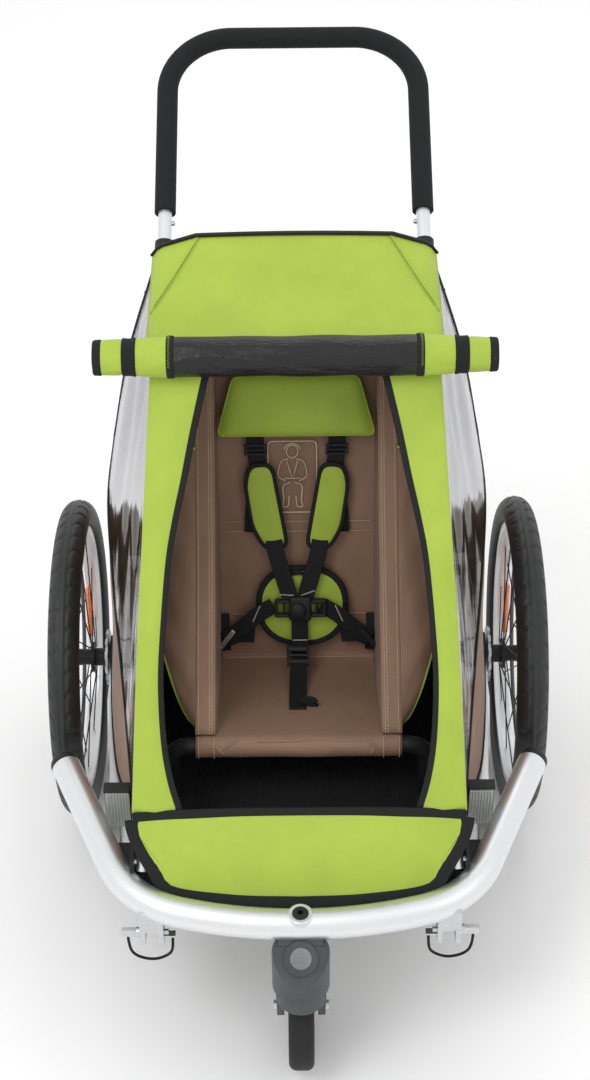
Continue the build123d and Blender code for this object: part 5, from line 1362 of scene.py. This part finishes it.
def headrest():
    """The crowned headrest, narrower at its top, with a fine seam round its middle."""
    top_half = HEADREST_HALF - HEADREST_TAPER
    corners = [(-HEADREST_HALF, HEADREST_BOTTOM), (HEADREST_HALF, HEADREST_BOTTOM),
               (top_half, HEADREST_TOP), (-top_half, HEADREST_TOP)]
    outline = spread(rounded_outline(corners, 0.011), 120)

    def place(x, z, height):
        return on_back(x, z, HEADREST_CLEARANCE + height)
    body = pad("headrest_cushion", outline, place, HEADREST_DEPTH, PAINT["green"], "chassis", 14)
    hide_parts("headrest_pillow")
    loop = [place(p.x, p.y, HEADREST_DEPTH / 2) for p in outline]
    sweep("headrest_seam", loop + loop[:2], BACK_OUT, oval(0.0020, 0.0020, 8), PAINT["green"],
          "chassis")


SHOULDER_PAD = [(-0.069, 0.611), (-0.037, 0.613), (-0.0145, 0.487), (-0.047, 0.485),
                (-0.066, 0.518), (-0.076, 0.585)]


BELLY_PAD_X = 0.007
BELLY_PAD_Z = 0.396
BELLY_PAD_WIDE = 0.0655
BELLY_PAD_HIGH = 0.0585
BELLY_PAD_POINTS = 96


def pads():
    """The two shoulder pads and the squarish round belly pad behind the buckle."""
    for name, side in SIDES:
        points = [(x * -side, z) for x, z in SHOULDER_PAD]
        outline = spread(rounded_outline(points, 0.015))
        body = bound_pad(f"shoulder_pad_{name}", outline, 0.008, 0.009, 0.0068)
        if side < 0:
            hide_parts("harness_pads")
    belly = []
    for i in range(BELLY_PAD_POINTS):
        a = 2 * math.pi * i / BELLY_PAD_POINTS
        c, s = math.cos(a), math.sin(a)
        wide = BELLY_PAD_WIDE if s > 0 else BELLY_PAD_WIDE - 0.004 * s * s
        belly.append(Vector((BELLY_PAD_X + wide * math.copysign(abs(c) ** 0.82, c),
                             BELLY_PAD_Z + BELLY_PAD_HIGH * math.copysign(abs(s) ** 0.86, s))))
    bound_pad("belly_pad", belly, 0.004, 0.010, 0.0095)


# ---- harness -----------------------------------------------------------------------------
STRAP_WIDTH = 0.0255


def flat_strap(name, points, up=BACK_OUT, width=STRAP_WIDTH, thickness=0.0019, count=40):
    """Webbing along a smooth line."""
    path = smooth_line(points, count)
    obj = sweep(name, path, up, oval(width, thickness, 16, 4.5), PAINT["webbing"], "chassis")
    return obj


def thread_mark(name, start, end, waves=9):
    """A short zigzag of white thread across a strap."""
    run = end - start
    across = run.cross(BACK_OUT).normalized()
    path = []
    for i in range(2 * waves + 1):
        t = i / (2 * waves)
        path.append(start + run * t + across * (0.0008 if i % 2 else -0.0008))
    sweep(name, path, BACK_OUT, oval(0.0011, 0.0009, 6), PAINT["white_thread"], "chassis")


def harness():
    """The shoulder, chest and hip straps with their adjusters, then the crotch strap."""
    for name, side in SIDES:
        shoulder = flat_strap(f"shoulder_strap_{name}", [
            on_back(side * 0.060, 0.700, 0.006), on_back(side * 0.060, 0.640, 0.008),
            on_back(side * 0.057, 0.600, 0.007), on_back(side * 0.064, 0.540, 0.005),
            on_back(side * 0.066, 0.508, 0.003)])
        if side < 0:
            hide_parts("harness_straps")
        flat_strap(f"chest_strap_{name}", [
            on_back(side * 0.036, 0.508, 0.013), on_back(side * 0.031, 0.480, 0.019),
            on_back(side * 0.022, 0.450, 0.024), on_back(side * 0.012, 0.418, 0.026)])
        thread_mark(f"chest_mark_{name}", on_back(side * 0.026, 0.424 + side * 0.003, 0.029),
                    on_back(side * 0.006, 0.420, 0.029), 6)
        flat_strap(f"hip_strap_{name}", [
            on_back(side * 0.036, 0.402, 0.022), on_back(side * 0.060, 0.387, 0.021),
            on_back(side * 0.088, 0.363, 0.019), on_back(side * 0.112, 0.347, 0.017)])
        thread_mark(f"hip_mark_{name}", on_back(side * 0.057, 0.402, 0.0245),
                    on_back(side * 0.068, 0.377, 0.0235), 6)
        flat_strap(f"hip_anchor_{name}", [
            on_back(side * 0.114, 0.382, 0.004), on_back(side * 0.114, 0.350, 0.013),
            on_back(side * 0.112, 0.325, 0.006)], width=0.020)
        flat_strap(f"hip_return_{name}", [
            on_back(side * 0.110, 0.345, 0.013), on_back(side * 0.090, 0.352, 0.012),
            on_back(side * 0.066, 0.350, 0.009)])
        slider(f"shoulder_adjuster_{name}", on_back(side * 0.060, 0.634, 0.0115),
               Vector((1, 0, 0)), BACK_RUN, (0.034, 0.017, 0.0036), "black_plastic")
        lean = Vector((side * 0.60, 0, 0)) - BACK_RUN * 0.80
        slider(f"hip_adjuster_{name}", on_back(side * 0.108, 0.349, 0.0215),
               lean.normalized(), lean.cross(BACK_OUT).normalized(), (0.036, 0.008, 0.0040),
               "steel" if side < 0 else "black_plastic")
    crotch()
    flat_strap("pad_loop", [on_back(-0.016, 0.447, 0.014), on_back(0.002, 0.449, 0.016),
                            on_back(0.020, 0.447, 0.014)], width=0.006)


def slider(name, centre, along, across, size, paint):
    """A slide adjuster: a rounded frame with a middle bar."""
    out = along.cross(across).normalized()
    width, height, thick = size
    bar = min(0.0034, height * 0.45)
    pieces = [(Vector((0, 0, 0)), (width, bar * 0.8, thick))]
    for step in (-1, 1):
        pieces.append((across * step * (height / 2 - bar / 2), (width, bar, thick)))
        pieces.append((along * step * (width / 2 - bar / 2), (bar, height, thick)))
    for number, (shift, dims) in enumerate(pieces):
        obj = rounded_block(f"{name}_{number}", centre + shift, dims, (along, across, out),
                            PAINT[paint], "chassis", 0.0014)


def on_seat(x, y, lift=0.0):
    """A place on the seat cloth at a distance ahead of the crease."""
    rise = (SEAT_TUBE_Z + SEAT_TUBE_RADIUS - CREASE_Z) / (SEAT_TUBE_Y - CREASE_Y)
    run = Vector((0, 1, rise)).normalized()
    normal = Vector((0, -run.z, run.y))
    return at(x, y, CREASE_Z + (y - CREASE_Y) * rise) + normal * lift


SEAT_UP = (on_seat(0, -0.2, 1.0) - on_seat(0, -0.2, 0.0))


LOCK_SIDE_X = 0.0152


def crotch():
    """The crotch strap with its ladder lock and the tail that curls on the seat."""
    path = [on_back(0.003, 0.392, 0.024), on_back(0.003, 0.358, 0.024),
            on_back(0.003, 0.335, 0.028), on_seat(0.001, -0.115, 0.022),
            on_seat(0.0, -0.150, 0.010), on_seat(-0.001, -0.195, 0.004),
            on_seat(-0.001, -0.236, 0.0035)]
    flat_strap("crotch_strap", path, BACK_OUT + SEAT_UP * 0.6, count=60)
    thread_mark("crotch_mark", on_back(-0.008, 0.349, 0.027), on_back(0.014, 0.349, 0.027), 7)
    centre = on_seat(0.0, -0.112, 0.027)
    run = Vector((0, -0.80, 0.05)).normalized()
    tilt = (SEAT_UP + BACK_OUT).normalized()
    across = tilt.cross(Vector((1, 0, 0))).normalized()
    frame_axes = (Vector((1, 0, 0)), across, tilt)
    x_step = Vector((1, 0, 0)) * LOCK_SIDE_X
    for name, shift, size, radius in (
            ("bar", across * 0.010, (0.034, 0.010, 0.010), 0.004),
            ("base", across * -0.010, (0.034, 0.008, 0.008), 0.003),
            ("side_0", -x_step, (0.0040, 0.034, 0.007), 0.0016),
            ("side_2", x_step, (0.0040, 0.034, 0.007), 0.0016),
            ("rung", across * 0.0, (0.030, 0.005, 0.005), 0.002)):
        rounded_block(f"ladder_lock_{name}", centre + shift, size, frame_axes,
                      PAINT["black_plastic"], "chassis", radius)
    curl = []
    for i in range(24):
        a = math.radians(-80 + 250 * i / 23)
        curl.append(on_seat(0.014 + 0.0085 * math.cos(a), -0.226, 0.0075 + 0.0045 * math.sin(a)))
    sweep("crotch_tail_curl", curl, SEAT_UP, oval(0.0018, 0.0145, 12, 4.0), PAINT["webbing"],
          "chassis")


# Each side latch's bars: along, up, width and height.
BUCKLE_BARS = ((0.0365, 0.0, 0.005, 0.028), (0.0275, 0.0115, 0.022, 0.006),
               (0.0275, -0.0115, 0.022, 0.006), (0.0245, 0.0, 0.004, 0.022))
# The dome's outline: height out from its seat, and radius.
DOME_PROFILE = [(-0.004, 0.0132), (0.0015, 0.0138), (0.0038, 0.0128), (0.0056, 0.0098),
                (0.0066, 0.0054), (0.0069, 0.0010)]


def buckle():
    """The five-point buckle: centre body, two side latches with windows, and a domed button."""
    x_axis = Vector((1, 0, 0))
    axes = (x_axis, BACK_RUN, BACK_OUT)
    plane = on_back(0.004, 0.399, 0.0265)
    centre = rounded_block("buckle_centre", plane, (0.034, 0.040, 0.013), axes,
                           PAINT["black_plastic"], "chassis", 0.005)
    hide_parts("buckle_body", "strap_adjusters")
    for name, side in SIDES:
        for number, (dx, dz, width, height) in enumerate(BUCKLE_BARS):
            place = plane + x_axis * side * dx + BACK_RUN * dz - BACK_OUT * 0.001
            rounded_block(f"buckle_latch_{name}_{number}", place, (width, height, 0.010), axes,
                          PAINT["black_plastic"], "chassis", 0.0024)
    dome = lathe("buckle_dome", DOME_PROFILE, middle("buckle_button"), BACK_OUT,
                 PAINT["black_plastic"], "buckle_button", 48)
    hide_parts("buckle_button")


# ---- label -------------------------------------------------------------------------------
LABEL_X = -0.006


def label():
    """A generic printed figure in a rounded frame, as fine raised lines on the seat back."""
    def line(name, points, closed=False, width=0.0016):
        flat = [Vector(p) for p in points]
        if closed:
            flat = flat + flat[:2]
        path = [on_back(p.x, p.y, 0.0012) for p in flat]
        sweep(name, path, BACK_OUT, oval(width, 0.0006, 6), PAINT["cream_print"], "chassis")

    def arc(cx, cz, rx, rz, a0, a1, count=24):
        return [(cx + rx * math.cos(math.radians(a0 + (a1 - a0) * i / count)),
                 cz + rz * math.sin(math.radians(a0 + (a1 - a0) * i / count)))
                for i in range(count + 1)]
    mid = LABEL_X
    frame_points = [(mid - 0.036, 0.537), (mid + 0.036, 0.537), (mid + 0.036, 0.643),
                    (mid - 0.036, 0.643)]
    line("label_frame", rounded_outline(frame_points, 0.008), True, 0.0020)
    line("label_head", arc(mid, 0.628, 0.0085, 0.0095, 0, 360), True)
    line("label_cap", arc(mid, 0.631, 0.0115, 0.0085, 0, 180))
    for side in (-1, 1):
        line(f"label_arm_{side + 1}", smooth_flat([(mid + side * 0.006, 0.617),
             (mid + side * 0.017, 0.612), (mid + side * 0.021, 0.592), (mid + side * 0.010, 0.584)]))
        line(f"label_leg_{side + 1}", smooth_flat([(mid + side * 0.003, 0.582),
             (mid + side * 0.014, 0.576), (mid + side * 0.013, 0.556), (mid + side * 0.015, 0.546),
             (mid + side * 0.007, 0.546), (mid + side * 0.005, 0.562)]))
        line(f"label_belt_{side + 1}", [(mid + side * 0.008, 0.614), (mid + side * 0.001, 0.590)])
    line("label_lap", [(mid - 0.012, 0.588), (mid + 0.012, 0.588)])


def smooth_flat(points):
    """A smooth flat line through (x, z) points."""
    return [(p.x, p.y) for p in smooth_line([(x, z, 0) for x, z in points], 20)]


# ---- camera, light and floor -------------------------------------------------------------
CAMERA_BACK = 2.194
CAMERA_HEIGHT = 2.296
CAMERA_PITCH = 39.507
CAMERA_ROLL = -0.57
CAMERA_YAW = 0.08
CAMERA_FOV = 32.0


def camera():
    """The camera, looking down at the trailer from in front."""
    data = bpy.data.cameras.new("camera")
    data.sensor_fit = "VERTICAL"
    data.angle = math.radians(CAMERA_FOV)
    obj = bpy.data.objects.new("camera", data)
    bpy.context.scene.collection.objects.link(obj)
    turn = (Matrix.Rotation(math.radians(CAMERA_YAW), 4, "Z")
            @ Matrix.Rotation(math.radians(90 - CAMERA_PITCH), 4, "X")
            @ Matrix.Rotation(math.radians(CAMERA_ROLL), 4, "Z"))
    obj.matrix_world = Matrix.Translation(at(0, -CAMERA_BACK, CAMERA_HEIGHT)) @ turn
    bpy.context.scene.camera = obj


WORLD_STRENGTH = 0.98
FLOOR_HALF = 14.0
FLOOR_DROP = -0.0005
# Each light's name, place, width in metres and power in watts.
LIGHTS = [("key", (-1.3, -1.6, 3.2), 1.4, 26), ("fill", (1.8, -1.0, 2.4), 1.8, 5),
          ("back", (0.3, 2.4, 2.6), 1.6, 8)]


def area_light(name, place, target, size, power):
    """A soft round light aimed at a target."""
    data = bpy.data.lights.new(name, "AREA")
    data.shape = "DISK"
    data.size = size
    data.energy = power
    obj = bpy.data.objects.new(name, data)
    bpy.context.scene.collection.objects.link(obj)
    obj.location = place
    obj.rotation_euler = (target - place).to_track_quat("-Z", "Y").to_euler()


def studio():
    """A pale floor under even white light, with a soft key from above and in front."""
    world = bpy.data.worlds.new("studio")
    world.use_nodes = True
    background = world.node_tree.nodes["Background"]
    background.inputs["Color"].default_value = (1.0, 1.0, 1.0, 1)
    background.inputs["Strength"].default_value = WORLD_STRENGTH
    bpy.context.scene.world = world
    bpy.context.scene.view_settings.view_transform = "Standard"
    size = FLOOR_HALF
    floor_paint = Paint("studio_floor", (0.93, 0.93, 0.93), 0.7)
    corners = [Vector((x * size, y * size, FLOOR_DROP))
               for x, y in ((-1, -1), (1, -1), (1, 1), (-1, 1))]
    floor = new_object("studio_floor", corners, [(0, 1, 2, 3)], floor_paint.material, None, False)
    target = at(0, 0, 0.5)
    for name, place, width, power in LIGHTS:
        area_light(name, at(*place), target, width, power)


def main():
    dress_frame()
    for name, side in SIDES:
        tyre(name, side)
        spoke_reflectors(name, side)
    front_bands()
    apron()
    roof()
    rolled_cover()
    side_window()
    lower_panels()
    floor_mesh()
    reflector_housings()
    lanyards()
    seat_cloth()
    seat_bands()
    headrest()
    pads()
    harness()
    buckle()
    label()
    studio()
    camera()


main()
